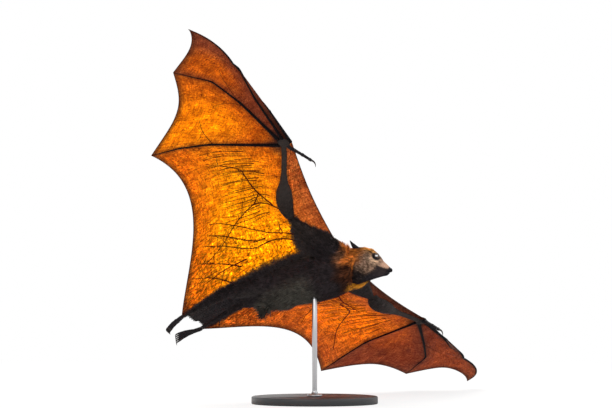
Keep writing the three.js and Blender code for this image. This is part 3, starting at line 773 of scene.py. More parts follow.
def add_vessels(mesh, name, web, rng):
    """The main web's larger vessels with their branches, and the small ones that run down it side by side."""
    for places in VESSELS[name]:
        add_vein(mesh, web, places, 1.45, 0.8, VESSEL)
        marks = vein_marks(places)
        for _ in range(2 + len(places) // 2):
            a, b = marks[rng.integers(5, len(marks) - 3), :2]
            branch(mesh, web, rng, a, b)
    for k in range(SMALL_VESSELS):
        u = 0.07 + 0.021 * k + rng.normal(0, 0.004)
        start, end = rng.uniform(0.16, 0.34), rng.uniform(0.56, 0.74)
        bend = rng.normal(0, 0.006)
        places = ((u, start), (u + bend, mix(start, end, 0.5)), (u + 0.02 + bend, end))
        size, russet = (0.7, 0.3) if k % 3 == 1 else (1.0, 0.03)
        add_vein(mesh, web, places, 1.05 * size, 0.62 * size, mix(VESSEL, RUSSET, russet))


def add_hand_vessels(mesh, web, roots, rng):
    """Vessels that run into a web between two fingers, each with a branch."""
    for a, b in roots:
        turn_in = 1 if a < 0.5 else -1
        places = ((a, b), (a + turn_in * 0.2, b + 0.16), (a + turn_in * 0.36, b + 0.25))
        add_vein(mesh, web, places, 0.8, 0.48, mix(VESSEL, RUSSET, 0.2))
        branch(mesh, web, rng, a + turn_in * 0.2, b + 0.16)


def wing_skin(w, shore):
    """One wing's webs, fingers and vessels. The shore is where the body's coat ends."""
    name, rng, mesh = w["name"], np.random.default_rng(11 if w["side"] > 0 else 12), Pieces()
    webs = {}
    for web, (shape, bones) in web_shapes(w).items():
        across, down, _, wide, long = WEBS[web]
        relief = web_relief(web, rng.integers(1 << 30))
        add_sheet(mesh, shape, across, down, web_colour(name, web, bones, shore), relief, wide, long)
        webs[web] = shape, relief, shore
        if web != "leg":
            free_edge(mesh, shape)
    for digit in DIGITS:
        add_finger(mesh, w, digit)
    add_vessels(mesh, name, webs["main"], rng)
    add_hand_vessels(mesh, webs["4_5"], ((0.98, 0.52), (0.04, 0.45)), rng)
    add_hand_vessels(mesh, webs["3_4"], ((0.96, 0.5), (0.05, 0.6)), rng)
    return mesh


def branch(mesh, web, rng, a, b):
    """A thin side vessel that wanders off from (a, b)."""
    way = rng.uniform(0, 2 * PI)
    places = [(a, b)]
    for _ in range(4):
        way += rng.normal(0, 0.4)
        a, b = a + 0.035 * math.cos(way), b + 0.035 * math.sin(way)
        if not (0.03 < a < 0.97 and 0.05 < b < 0.95):
            break
        places.append((a, b))
    if len(places) > 2:
        add_vein(mesh, web, places, 0.66, 0.44, mix(VESSEL, RUSSET, 0.35))

# ---------------------------------------------------------------- the body under its coat

VOXEL = 1.5  # mm, of the skin that joins trunk and limbs
COAT = {"trunk": 6.0, "neck": 7.0, "upper_arm": 4.0, "forearm": 0.5, "thigh": 4.0, "shin": 2.2}

# Radii of each limb along its length: (share of the length, half width, half depth), coat included.
UPPER_ARM = ((0, 27, 20), (0.3, 26, 17), (0.6, 18.5, 12), (0.85, 11, 8), (0.97, 7, 6.5))
FOREARM_SHAPE = (
    (0, 7, 6.5), (0.12, 11.5, 9), (0.24, 14, 9.4), (0.36, 13, 9),
    (0.48, 7.4, 6.4), (0.62, 4.9, 4.9), (1, 4.9, 4.5),
)
THIGH = ((0, 20, 19), (0.5, 19.5, 16), (0.85, 15, 12.5), (1, 11.5, 9))
SHIN = ((0, 11.5, 9.5), (0.3, 8, 7.2), (0.7, 5, 5), (1, 3.8, 3.8))


def limb(line, stations, coat, rings=40, sides=24, least=2.5):
    """A limb's flesh: its outline less the depth of the coat."""
    t = np.linspace(stations[0][0], stations[-1][0], rings)
    w = np.maximum(table(t, stations, 1, 0.03) - coat, least)
    d = np.maximum(table(t, stations, 2, 0.03) - coat, least)
    return tube(line(t), w, sides, UP, d)


def straight(a, b):
    return Path(np.stack([a, b]))


def oval(centre, across, along, w, d, sides=40):
    a = turns(sides)
    return centre + np.outer(np.cos(a) * w, across) + np.outer(np.sin(a) * d, along)


def trunk_flesh():
    x = np.linspace(TRUNK[0][0] + 4, TRUNK[-1][0] + 6, 60)
    z, w, d = (table(x, TRUNK, k, 6) for k in (1, 2, 3))
    coat = COAT["trunk"]
    rings = [oval(vec(a, 0, b), vec(0, 1, 0), UP, c - coat, e - coat) for a, b, c, e in zip(x, z, w, d)]
    return loft(rings)


def neck_line():
    """Middle, turn, half width and half depth of the neck and mane, from the trunk to the skull."""
    x, z, w, d = TRUNK[-1]
    base, back, front = vec(x - 4, 0, z), head_point((-60, 0, -11)), head_point((-43, 0, -15))
    head_side, head_up = HEAD_TURN[:, 1], HEAD_TURN[:, 2]
    side = vec(0, 1, 0)
    collar = mix(base, back, 0.5) + vec(2, 2, -8)
    turned = unit(mix(side, head_side, 0.5)), unit(mix(UP, head_up, 0.5))
    return (
        (base, side, UP, w, d), (collar, *turned, 35, 33),
        (back, head_side, head_up, 25, 27), (front, head_side, head_up, 17, 21),
    )


def neck_flesh():
    rows, steps = neck_line(), 8
    rings = []
    for k, centre in enumerate(through([row[0] for row in rows], steps)):
        i = min(k // steps, len(rows) - 2)
        across, along, w, d = (mix(a, b, k / steps - i) for a, b in zip(rows[i][1:], rows[i + 1][1:]))
        rings.append(oval(centre, unit(across), unit(along), w - COAT["neck"], d - COAT["neck"]))
    return loft(rings)


def flesh_parts():
    yield trunk_flesh()
    yield neck_flesh()
    sheath = straight(vec(-131, 0, -20), vec(-142.5, 0, -51.5))
    yield limb(sheath, ((0, 7.5, 7.5), (0.5, 5, 5), (1, 2.2, 2.2)), 0.4, least=1.6)
    for w in WINGS.values():
        yield limb(w["upper"], UPPER_ARM, COAT["upper_arm"])
        yield limb(w["lower"], FOREARM_SHAPE, COAT["forearm"], 70)
        out = unit(w["wrist"] - w["elbow"])
        t = np.linspace(0, 1, 16)
        more = (w["lead"] - 7) / 2  # the wrist reaches forward to the second finger's root
        centres = w["wrist"] + out * (12 * t - 5)[:, None] + vec(more, 0, 0) * t[:, None]
        wide = ((0, 4.6), (0.35, 8.2 + more / 2), (0.8, 9.2 + more), (1, 8 + more))
        yield tube(centres, table(t, wide, 1, 0.1), 20, UP,
                   table(t, ((0, 4.6), (0.35, 5.2), (0.8, 4.2), (1, 3)), 1, 0.1))
        yield limb(straight(w["hip"], w["knee"]), THIGH, COAT["thigh"])
        yield limb(straight(w["knee"], w["ankle"]), SHIN, COAT["shin"])


def voxel_skin():
    """Trunk, neck and limbs as one closed skin, its joins rounded off. Returns points and quads."""
    mesh = Pieces()
    for points, faces in flesh_parts():
        mesh.add(points, faces, NIGHT)
    me = bpy.data.meshes.new("flesh")
    polygons = [tuple(row) for f in mesh.faces for row in f.tolist()]
    me.from_pydata(np.concatenate(mesh.points).tolist(), [], polygons)
    ob = put("flesh", me)
    remesh = ob.modifiers.new("one skin", "REMESH")
    remesh.mode = "VOXEL"
    remesh.voxel_size = VOXEL
    done = bpy.data.meshes.new_from_object(ob.evaluated_get(bpy.context.evaluated_depsgraph_get()))
    points = read(done.vertices, "co", np.float32, 3)
    corners = read(done.loops, "vertex_index")
    totals = read(done.polygons, "loop_total")
    starts = np.concatenate([[0], np.cumsum(totals)[:-1]])
    faces = [corners[starts[totals == k][:, None] + np.arange(k)] for k in (3, 4) if (totals == k).any()]
    bpy.data.objects.remove(ob)
    bpy.data.meshes.remove(done)
    return points.reshape(-1, 3).astype(float), faces


def smoothed(points, faces, rounds, keep=-0.53, move=0.5):
    """Evens out a mesh without shrinking it."""
    a = np.concatenate([f[:, k] for f in faces for k in range(f.shape[1])])
    b = np.concatenate([np.roll(f, -1, 1)[:, k] for f in faces for k in range(f.shape[1])])
    a, b = np.concatenate([a, b]), np.concatenate([b, a])
    degree = np.bincount(a, minlength=len(points))[:, None]
    for _ in range(rounds):
        for share in (move, keep):
            mean = np.stack([np.bincount(a, points[b, k], len(points)) for k in range(3)], -1) / degree
            points = points + (mean - points) * share
    return points


# ---------------------------------------------------------------- the head

# The coat's depth at each distance behind the nose.
HEAD_COAT = ((0, 0.5), (12, 0.9), (30, 1.8), (45, 2.8), (75, 4.0))

# Folds and fullness of the face: place behind, beside and above the nose tip, reach, height.
FACE_FORM = (
    ((-30.5, 12.0, 8.5), 7.5, -1.8),  # eye socket
    ((-33, 9.0, 16.0), 5.0, 1.3),  # brow
    ((-25, 11.5, 1.5), 5.0, 0.5),  # under the eye
    ((-44, 18, -6), 10, 1.5),  # cheek
    ((-9, 6, -2.5), 5.0, 0.9),  # whisker pad
    ((-16, 3, 9.5), 5.5, -0.6),  # bridge of the nose
    ((-6, 0, -10), 5.0, 0.7),  # chin
    ((-26, 9, -14), 6.0, -0.8),  # behind the lips
    ((-52, 17, 12), 6.0, -0.9),  # in front of the ear
    ((-47, 13, -22), 8.0, 0.8),  # corner of the jaw
    ((-40, 0, 22), 7.0, 0.7),  # crown
)
MOUTH = ((-1.0, -4.6), (-6, -5.6), (-12, -6.6), (-18, -7.4), (-23.5, -7.2), (-26, -6.2))  # behind, above
MOUTH_WIDE, MOUTH_DEEP = 0.75, 1.5
HEAD_RINGS, HEAD_SIDES, EYE_SIDES = 190, 168, 72


def head_flesh():
    """The head's skin as a fine grid of rings, in the head's frame, with the folds of the face."""
    t = np.linspace(0, 1, HEAD_RINGS)
    s = 0.25 + 72 * t**1.35
    a = turns(HEAD_SIDES)
    w, top, low = (table(s, ((0, 2.6, 1.2, -3.2),) + HEAD, k, 2.2) for k in (1, 2, 3))
    coat = table(s, HEAD_COAT, 1)
    close = np.sqrt(np.clip(s / 2.2, 0.0, 1))  # the front closes like the end of an egg
    s3, sn = s[:, None], np.sin(a)[None]
    y = ((w - coat) * close)[:, None] * np.cos(a) * np.where(sn < 0, 1 - JAW_NARROWING * sn**2, 1)
    z = np.where(sn > 0, ((top - coat) * close)[:, None] * sn, -((low + coat) * close)[:, None] * sn)
    z = z - (1 - close)[:, None] * 1.2
    p = np.stack([-s3 + 0 * y, y, z], -1)
    n = ring_normals(p)
    move = np.zeros(p.shape[:2])
    for (x0, y0, z0), reach, height in FACE_FORM:
        for side in (1, -1) if y0 else (1,):
            d2 = ((p - vec(x0, side * y0, z0)) ** 2).sum(-1)
            move += height * np.exp(-d2 / reach**2 * 1.6)
    line = through([vec(x, 0, z) for x, z in MOUTH], 10)
    d = np.sqrt(((p[..., None, [0, 2]] - line[:, [0, 2]]) ** 2).sum(-1)).min(-1)
    move += bell(d - 1.5) * 0.35 - MOUTH_DEEP * bell(d / MOUTH_WIDE)
    for k in range(4):  # shallow folds behind the corner of the mouth
        x = -28 - 2.1 * k
        high = p[..., 2] + 6
        fold = np.abs(p[..., 0] - x + 0.35 * high) / 0.8
        move -= 0.35 * bell(fold) * bell(high / 5) * (np.abs(p[..., 1]) > 5)
    return p + n * move[..., None]


def ring_normals(p):
    """Outward normals of a grid whose rows are rings round the X axis."""
    ahead = np.gradient(p, axis=0)
    round_ = np.roll(p, -1, 1) - np.roll(p, 1, 1)
    n = unit(np.cross(round_, ahead))
    out = (n * (p - p.mean(1, keepdims=True))).sum(-1, keepdims=True)
    return n * np.sign(out + 1e-9)


def face_colour(p):
    """The colour of the short coat and bare skin of the face, for places in the head's frame."""
    x, y, z, left = -p[..., 0], np.abs(p[..., 1]), p[..., 2], p[..., 1]
    spots = np.sin(x * 0.9 + 2 * np.sin(z * 0.7)) * np.sin(z * 1.1 + 1.5 * np.sin(x * 0.6 + y * 0.4))
    out = over(FACE, FACE_DARK, 0.62 * np.clip(0.5 + 1.4 * spots, 0, 1))
    cream = bell((x - 30) / 9, (z - 0.5) / 5.0) * step(20, 26, x)
    out = over(out, CREAM, 0.8 * cream)
    # Painted rim light: gold on the crown, brighter towards the top, where light from above and behind
    # catches the fur.
    crown_rim_light = step(3, 15, z + 1.2 * spots) * step(28, 40, x)
    out = over(out, GOLD * mix(0.45, 0.95, step(9, 17, z))[..., None], 0.8 * crown_rim_light)
    back = step(42, 58, x + 2 * spots)
    out = over(out, mix(RUFOUS, GOLD, 0.15) * 0.6, back * step(-26, -6, z))
    # Painted shade: the underside of the jaw darkened to near black.
    jaw_shade = step(-17, -29, z + 0.45 * (x - 34) * (x < 34) + 1.5 * spots)
    out = over(out, FACE_DARK, 0.95 * jaw_shade)
    # Painted rim light under the jaw's far side.
    throat = step(31, 36, 0.49 * left - 0.82 * z) * step(26, 34, x) * step(-2, 4, left)
    out = over(out, SUNLIT, throat)
    snout = step(23, 15, x) * step(-3.8, -0.5, z) * (1 - 0.4 * step(8, 11, z))
    fine = np.sin(x * 2.3 + 1.4 * np.sin(z * 1.9)) * np.sin(z * 2.5 + 0.9 * y)
    out = over(out, over(SNOUT, FACE * 0.55, 0.8 * step(-0.1, 0.7, fine)), 0.92 * snout)
    mouth = -5.0 - 0.10 * x  # the height of the mouth's line
    lips = step(3.4, 1.8, z - mouth) * (1 - step(21, 27, x + 0.5 * (z - mouth)))
    out = over(out, NIGHT * 1.5, 0.94 * lips)
    corner = bell((x - 22.5) / 2.6, (z + 6.0) / 2.6) * step(5, 8, y)
    out = over(out, NIGHT * 1.5, 0.9 * corner)
    eye = np.sqrt((x + EYE_AT[0] - 0.5) ** 2 / 1.4 + (y - EYE_AT[1] - 2) ** 2 + (z - EYE_AT[2] - 0.8) ** 2)
    out = over(out, NIGHT, 0.95 * (1 - step(5.4, 6.8, eye)))
    brow = bell((x - 38) / 4.5, (z - 10.8 - 0.2 * (x - 38)) / 1.3) * step(5, 9, y)
    out = over(out, NIGHT * 2, 0.9 * brow)
    return over(out, NIGHT, 1 - step(4.0, 7.2, x + 0.3 * z))


def add_head(mesh):
    p = head_flesh()
    points, faces = loft(p)
    mesh.add(head_point(points), faces, np.concatenate([face_colour(p).reshape(-1, 3), [NIGHT, RUFOUS]]))
    return p


def add_nose(mesh):
    """A bare double nose: two short nostrils that open forward and outward, with a groove between."""
    u, v = np.meshgrid(np.linspace(0.02, 0.98, 36), np.arange(48) / 48, indexing="ij")
    th, ph = u * PI, v * 2 * PI
    p = np.stack([np.cos(th), np.sin(th) * np.cos(ph), np.sin(th) * np.sin(ph)], -1)
    size = vec(3.4, 4.6, 3.5)
    q = p * size
    groove = np.exp(-((q[..., 1] / 0.8) ** 2)) * step(0.2, 0.9, p[..., 0] - 0.2 * p[..., 2])
    q = q * (1 - 0.16 * groove)[..., None]
    for side in (1, -1):
        way = unit(vec(0.80, side * 0.72, -0.05))
        near = np.exp(-((np.arccos(np.clip(p @ way, -1, 1)) / 0.30) ** 2))
        ring = np.exp(-(((np.arccos(np.clip(p @ way, -1, 1)) - 0.46) / 0.16) ** 2))
        q = q * (1 + 0.10 * ring - 0.42 * near)[..., None]
    points, faces = loft(q)
    mesh.add(head_point(points + vec(-2.4, 0, -1.4)), faces, NIGHT * 0.8)


def eye_frame(side):
    """An eye's middle, and the ways it looks, forward across it and up across it, in the head's frame."""
    centre = sided(EYE_AT, side)
    look = unit(vec(0.35, side * 0.83, 0.43))
    ahead = unit(np.cross(look, vec(0, 0, 1)) * -side)
    return centre, look, ahead, unit(np.cross(ahead, look)) * side


# The lids, row by row from the inside: spread past the opening, height over the eyeball, share of dark fur.
LIDS = (
    (0.0, -0.3, 0), (0.0, 0.12, 0), (0.06, 0.42, 0), (0.16, 0.5, 0.15),
    (0.32, 0.3, 0.4), (0.5, -0.2, 0.8), (0.8, -1.4, 1), (1.1, -2.6, 1),
)


def add_lids(mesh, side):
    """The rims of both lids: a soft fold of dark skin round an almond opening."""
    centre, look, ahead, above = eye_frame(side)
    above = above if above[2] > 0 else -above
    a = turns(EYE_SIDES)
    wide = 1.0 + 0.10 * np.abs(np.cos(a)) ** 3
    tall = np.where(np.sin(a) > 0, 0.86, 0.80)
    opening = np.stack([np.cos(a) * wide, np.sin(a) * tall], -1)
    rings = []
    for spread, height, _ in LIDS:
        angle = opening * (0.86 + spread)
        reach = np.linalg.norm(angle, axis=1)
        flat = angle / reach[:, None]
        aside = flat[:, :1] * ahead + flat[:, 1:] * above
        out = look[None] * np.cos(reach)[:, None] + aside * np.sin(reach)[:, None]
        rings.append(centre + out * (EYE_RADIUS + height))
    faces = grid_faces(len(rings), EYE_SIDES, True)
    points = head_point(np.array(rings).reshape(-1, 3))
    a, b, c = points[faces[80, :3]]
    if np.dot(np.cross(b - a, c - a), a - head_point(centre)) < 0:
        faces = faces[:, ::-1]
    tones = mix(NIGHT, FACE_DARK, np.array(LIDS)[:, 2:])
    mesh.add(points, [faces], np.repeat(tones, EYE_SIDES, axis=0))


def eyeball(side):
    """The eyeball, bulging a little at its clear front, with its colours."""
    centre, look, ahead, above = eye_frame(side)
    th, ph = np.linspace(0.01, PI - 0.01, 60), turns(EYE_SIDES)
    r = EYE_RADIUS - 0.12 + 0.22 * bell(th / 0.7)
    ring = np.stack([np.cos(ph), np.sin(ph)], -1) @ np.stack([ahead, above])
    axis = (look[None] * np.cos(th)[:, None])[:, None]
    points, faces = loft(centre + axis * r[:, None, None] + ring[None] * (np.sin(th) * r)[:, None, None])
    tones = over(over(PUPIL, IRIS, step(0.28, 0.36, th)), EYE_RIM, step(0.72, 0.86, th))
    return head_point(points), faces, ring_tints(tones, EYE_SIDES)


def add_ear(mesh, side):
    """A pointed, cupped ear, thin at the rim, with low ribs inside it."""
    root, lean, across = sided(EAR_AT, side), unit(sided(EAR_LEAN, side)), unit(vec(*EAR_BASE))
    hollow = unit(np.cross(across, lean)) * side
    u, v = unit_grid(37, 49)
    w = EAR_WIDTH / 2 * (1 - 0.94 * v**1.25)
    s = 2 * u - 1
    cup = EAR_CUP * s * s * (1 - v) - 0.8 * np.sin(PI * v)
    rib = 0.25 * np.sin(v * 26) * (1 - s * s) * step(0.1, 0.3, v) * (1 - v)
    p = root + lean * (EAR_LENGTH * v - EAR_SINK)[..., None] + across * (w * s)[..., None]
    p = head_point(p + hollow * (cup + rib)[..., None])
    rim = np.clip(1 - np.abs(s) ** 8, 0.0, 1) * np.clip(1 - v**10, 0.05, 1)
    edge = np.maximum(step(0.6, 1, np.abs(s)), step(0.7, 1, v))
    tint = over(NIGHT * 1.2, NIGHT * 0.8, edge).reshape(-1, 3)
    mesh.add(*thin_sheet(p, 0.66 * np.maximum(rim, 0.12) ** 0.5), np.concatenate([tint, tint]))


# ---------------------------------------------------------------- thumbs, feet and claws

# Half width at each share of the length, and for the sole half depth too.
THUMB_SHAPE = ((0, 3.1), (0.2, 2.5), (0.45, 2.2), (0.52, 2.9), (0.6, 2.3), (0.86, 2.1), (0.93, 2.7), (1, 2.1))
SOLE = ((-0.1, 3.0, 3.0), (0.1, 3.4, 3.4), (0.6, 4.4, 3.0), (0.9, 5.2, 2.6), (1.05, 4.6, 1.8))
TOE = ((0, 1.7), (0.3, 1.4), (0.5, 1.6), (0.65, 1.3), (0.88, 1.5), (1, 1.2))


def hook(mesh, root, ahead, below, length, thick):
    """A curved, tapering claw that bends down from its root."""
    tip = root + ahead * (0.62 * length) + below * (0.72 * length)
    line = bezier(root - ahead * 0.8, root + ahead * (0.72 * length), tip, n=18)
    t = np.linspace(0, 1, 18)
    r = thick * (1 - t) ** 0.75 + 0.12
    tones = over(HORN * 0.4, HORN * 0.12, t)
    mesh.add(*tube(line, r * 0.72, 10, np.cross(ahead, below), r), ring_tints(tones, 10))


def thumb_line(w):
    root = w["wrist"] + sided(w["thumb_root"], w["side"])
    end = root + w["thumb_way"] * THUMB
    return root, mix(root, end, 0.5) + vec(1, 0, 0), end


def add_thumb(skin, claws, w):
    root, knuckle, end = thumb_line(w)
    t = np.linspace(0, 1, 44)
    line = Path(bezier(root, knuckle, end))
    skin.add(*tube(line(t), table(t, THUMB_SHAPE, 1, 0.02), 14), NIGHT)
    heel = mix(w["wrist"] + vec(2, 0, 0), root, np.linspace(0, 1.1, 12)[:, None])
    skin.add(*tube(heel, np.linspace(4.2, 2.9, 12), 14), NIGHT)
    way = unit(end - root)
    hook(claws, end - way, unit(way + vec(0.25, 0, 0.1)), unit(vec(-0.15, 0, -1)), 14.5, 2.3)


def add_foot(skin, claws, w):
    """The sole and five toes, each with two bones, a pad and a strong hooked claw."""
    ankle, splay = w["ankle"], w["splay"]
    reach = w["toes"] - ankle
    length = np.linalg.norm(reach)
    ahead = reach / length
    across = unit(np.cross(ahead, UP))
    below = -unit(np.cross(across, ahead))
    ball = ankle + ahead * (0.32 * length)
    t = np.linspace(-0.1, 1.05, 26)
    wide, deep = (table(t, SOLE, k, 0.08) for k in (1, 2))
    skin.add(*tube(ankle + (ball - ankle) * t[:, None], wide, 24, UP, deep), NIGHT)
    t = np.linspace(0, 1, 30)
    for spread in np.linspace(-1, 1, 5):
        root = ball + across * (4.0 * spread) - ahead * 1.5
        knuckle = ball + ahead * (0.42 * length) + across * (0.85 * splay * spread)
        end = ball + ahead * (0.54 * length) + across * (0.94 * splay * spread) + below * 1.8
        curve = Path(bezier(root, mix(root, knuckle, 0.6) - below * 1.3, end, n=30))
        skin.add(*tube(curve(t), table(t, TOE, 1, 0.03), 12), NIGHT)
        hook(claws, end, unit(ahead * 0.9 + across * 0.12 * spread), below, 8.5, 1.6)

# ---------------------------------------------------------------- where a place on the skin belongs

TRUNK_END = vec(-142, 0, -8)
TRUNK_FRONT = vec(2, 0, -9)


def make_regions():
    """Each furred part: name, start, end, radius at both, the way its coat lies, and its coat's depth."""
    rows = [
        ("trunk", TRUNK_END, TRUNK_FRONT, 20, 36, vec(-1, 0, 0), COAT["trunk"]),
        ("neck", vec(16, 0, -9), head_point((-60, 0, -9)), 29, 19, None, COAT["neck"]),
    ]
    for w in WINGS.values():
        rows += [
            ("upper_arm", w["shoulder"], w["elbow"], 20, 4, None, COAT["upper_arm"]),
            ("forearm", w["elbow"], w["wrist"], 9, 4, None, 1.2),
            ("thigh", w["hip"], w["knee"], 14, 7, None, COAT["thigh"]),
            ("shin", w["knee"], w["ankle"], 8, 2.5, None, COAT["shin"]),
        ]
    out = []
    for name, a, b, ra, rb, way, depth in rows:
        way = unit(b - a) if way is None else way
        out.append({"name": name, "a": a, "b": b, "ra": ra, "rb": rb, "depth": depth,
                    "way": -way if name == "neck" else way})
    return out


REGIONS = make_regions()
CELLS = 4  # the unwrap's cells each way: one for each region, one for the head, two for each web's fur


def places_in(p):
    """For each region, the share of the way along it and the distance from its surface."""
    return [np.stack(rows) for rows in zip(*(place_in(r, p) for r in REGIONS))]


def coat_shore(points):
    """The furred skin next to the webs, to look up how far a place in a web is from it."""
    owner = places_in(points)[1].argmin(0)
    furred = np.array([r["name"] != "forearm" for r in REGIONS])
    chosen = points[furred[owner]][::3]
    tree = KDTree(len(chosen))
    for i, p in enumerate(chosen.tolist()):
        tree.insert(p, i)
    tree.balance()
    return tree


def place_in(region, p):
    """Share of the way along a region, and distance from its surface."""
    line = region["b"] - region["a"]
    t = np.clip((p - region["a"]) @ line / (line @ line), 0, 1)
    off = np.linalg.norm(p - (region["a"] + t[:, None] * line), axis=1)
    return t, off - mix(region["ra"], region["rb"], t)


def unwrap(region, index, p, t):
    """A place on the skin's own unwrap: along the part, and round it."""
    line = unit(region["b"] - region["a"])
    across = unit(np.cross(line, UP))
    above = np.cross(across, line)
    d = p - region["a"]
    around = np.arctan2(d @ above, d @ across) / (2 * PI) + 0.5
    return cell(index, t, around)


def cell(index, s, t):
    at = np.stack([np.broadcast_to(s, np.shape(t)), t], -1)
    corner = np.stack([index % CELLS, index // CELLS], -1)
    return (corner + 0.04 + 0.92 * at) / CELLS


def marking(p):
    """The coat's colour at places in the body's frame, for skin and tufts alike."""
    x, y, z = p.T
    back = step(-8, 22, z)
    out = over(COAT_DARK, COAT_BACK, back)
    out = over(out, COAT_BELLY, step(-16, -36, z) * step(-30, -60, x))
    out = over(out, over(COAT_DARK * 0.65, COAT_BACK, 0.35 * back), step(34, 46, np.abs(y)))
    fringe = 3.5 * np.sin(y * 0.22) + 2.5 * np.sin(z * 0.31 + 1)
    mane = step(-8, 8, x + fringe) * (1 - step(36, 46, np.abs(y)))
    tone = over(mix(COAT_BACK, RUFOUS, 0.18), RUFOUS, step(4, 23, x + 1.6 * fringe))
    # Painted shade: the underside of the neck darkened to near black on the near side.
    throat = step(-17, -31, z + 0.5 * fringe) * (1 - step(6, 16, y))
    tone = over(tone, mix(FACE_DARK, RUFOUS, 0.06), 0.95 * throat)
    # The golden mantle on the nape and the far side of the neck: partly its own colour, partly painted rim
    # light from above and behind.
    nape_gold_and_rim_light = np.clip(step(12, 21, z) + 0.8 * step(12, 30, y) * step(-30, 0, z), 0, 1)
    out = over(out, over(tone, GOLD, nape_gold_and_rim_light), mane)
    # Painted rim light on the far side of the throat.
    sunlit = step(31, 36, 0.49 * y - 0.82 * z) * step(0, 8, y) * step(-2, 10, x) * (1 - step(30, 38, y))
    return over(out, SUNLIT, sunlit)


def lock_tones(p, size, low, high):
    """How light each place is: all the hair of one lock is lighter or darker than its neighbours."""
    index = np.floor(p / size + 0.4 * np.sin(p[:, [1, 2, 0]] * (2.1 / size))).astype(np.int64)
    key = (index * np.array([83492791, 73856093, 19349663])).sum(1)
    return mix(low, high, (key >> 4) % 1013 / 1013)


# ---------------------------------------------------------------- the coat

TUFTS = {  # for each part: tufts to a square mm, length at both ends, width
    "trunk": (0.95, 10.5, 10.5, 0.75),
    "neck": (1.35, 11.5, 8.0, 0.70),
    "upper_arm": (0.95, 9.5, 5.0, 0.68),
    "forearm": (0.8, 4.0, 2.5, 0.5),
    "thigh": (0.95, 8.5, 7.0, 0.68),
    "shin": (1.2, 6.0, 3.5, 0.5),
}
HEAD_TUFTS = (
    (6, 1.3, 0.30), (14, 2.0, 0.34), (26, 3.0, 0.38), (40, 4.4, 0.44), (52, 6.2, 0.50), (66, 9, 0.62)
)
HEAD_DENSITY = 3.0
THROAT_SIDE = unit(vec(-0.29, 0.46, -0.84))
PATCH = 0.003  # each tuft's patch on the unwrap
COAT_RINGS = (0.0, 0.45)
LOCK_SEED = 12345
MOST_TUFTS = 19000  # tufts to a piece, under 200,000 triangles
WEB_TUFTS = {"main": (main_web, 70000), "front": (front_web, 12000), "leg": (leg_web, 9000)}  # places tried


def scatter(points, faces, density, rng):
    """Random places on a mesh: their positions, smooth normals and triangles."""
    tri = np.concatenate([f[:, [0, k, k + 1]] for f in faces for k in range(1, f.shape[1] - 1)])
    a, b, c = (points[tri[:, k]] for k in range(3))
    area = np.linalg.norm(np.cross(b - a, c - a), axis=1) / 2
    wanted = area * density(np.mean([a, b, c], axis=0))
    picked = np.repeat(np.arange(len(tri)), rng.poisson(wanted))
    s, t = rng.random((2, len(picked)))
    s, t = np.where(s + t > 1, 1 - s, s), np.where(s + t > 1, 1 - t, t)
    share = np.stack([1 - s - t, s, t], -1)[..., None]
    n = normals_of(points, faces)
    corners = tri[picked]
    return (points[corners] * share).sum(1), unit((n[corners] * share).sum(1))


def clumped(p, size):
    """For each place, the way to the middle of its lock."""
    index = np.floor(p / size).astype(np.int64)
    key = (index * np.array([73856093, 19349663, 83492791])).sum(1) ^ LOCK_SEED
    parts = np.stack([(key >> k) % 1009 / 1009 for k in (3, 9, 15)], -1)
    return (index + 0.25 + 0.5 * parts) * size - p


def tuft_mesh(p, n, way, length, width, lift, tint, uv, rng, lock=4.5, pull=0.22):
    """Tufts as closed, three-sided blades that rise from the skin and bend over along the coat."""
    count = len(p)
    x, y, z = p.T
    swirl = 0.16 * np.sin(x * 0.11 + 0.7 * np.sin(y * 0.09)) + 0.10 * np.sin(z * 0.17 + y * 0.13)
    swirl = swirl + rng.normal(0, 0.13, count)
    way = unit(way - n * (way * n).sum(1)[:, None])
    across = np.cross(n, way)
    way = unit(way + across * swirl[:, None])
    across = np.cross(n, way)
    length = (length * rng.uniform(0.8, 1.12, count))[:, None]
    lift = (lift * rng.uniform(0.65, 1.06, count))[:, None]
    toward = clumped(p, lock) * pull
    toward = toward - n * (toward * n).sum(1)[:, None]
    base = p - n * 0.5
    points = np.empty((count, 7, 3))
    colours = np.empty((count, 7, 3))
    maps = np.empty((count, 7, 2))
    corners = ((-0.5, 0.0), (0.5, 0.0), (0.0, 0.42))
    for r, t in enumerate(COAT_RINGS):
        centre = base + way * length * t + n * length * lift * (t - 0.45 * t * t) + toward * t
        for k, (side, rise) in enumerate(corners):
            w = (width * (1 - 0.25 * t))[:, None]
            points[:, 3 * r + k] = centre + across * w * side + n * w * rise
            colours[:, 3 * r + k] = tint * (0.62 + 0.8 * t)
            maps[:, 3 * r + k] = uv + PATCH * vec(side, t - 0.5)
    points[:, 6] = base + way * length + n * length * lift * 0.55 + toward
    colours[:, 6] = tint * 1.3
    maps[:, 6] = uv + PATCH * vec(0, 0.5)
    quads = np.array([[0, 1, 4, 3], [1, 2, 5, 4], [2, 0, 3, 5]])
    tips = np.array([[3, 4, 6], [4, 5, 6], [5, 3, 6], [0, 2, 1]])
    start = (np.arange(count) * 7)[:, None, None]
    return points, [(quads + start).reshape(-1, 4), (tips + start).reshape(-1, 3)], colours, maps


def build_coat(name, material, slot, tufts):
    """One coat piece. Each tuft's patch sits at its root's place on the skin's unwrap, in the map OFBake."""
    points, faces, colours, maps = tufts
    mesh = Pieces()
    colours = colours / np.maximum(colours.max(-1, keepdims=True), 1)  # no lighter than white, the hue kept
    mesh.add(points, faces, colours.reshape(-1, 3))
    ob = mesh.build(name, material, slot)
    layer = ob.data.uv_layers.new(name="OFBake", do_init=False)
    corners = read(ob.data.loops, "vertex_index")
    layer.uv.foreach_set("vector", maps.reshape(-1, 2)[corners].astype(np.float32).ravel())
    return ob


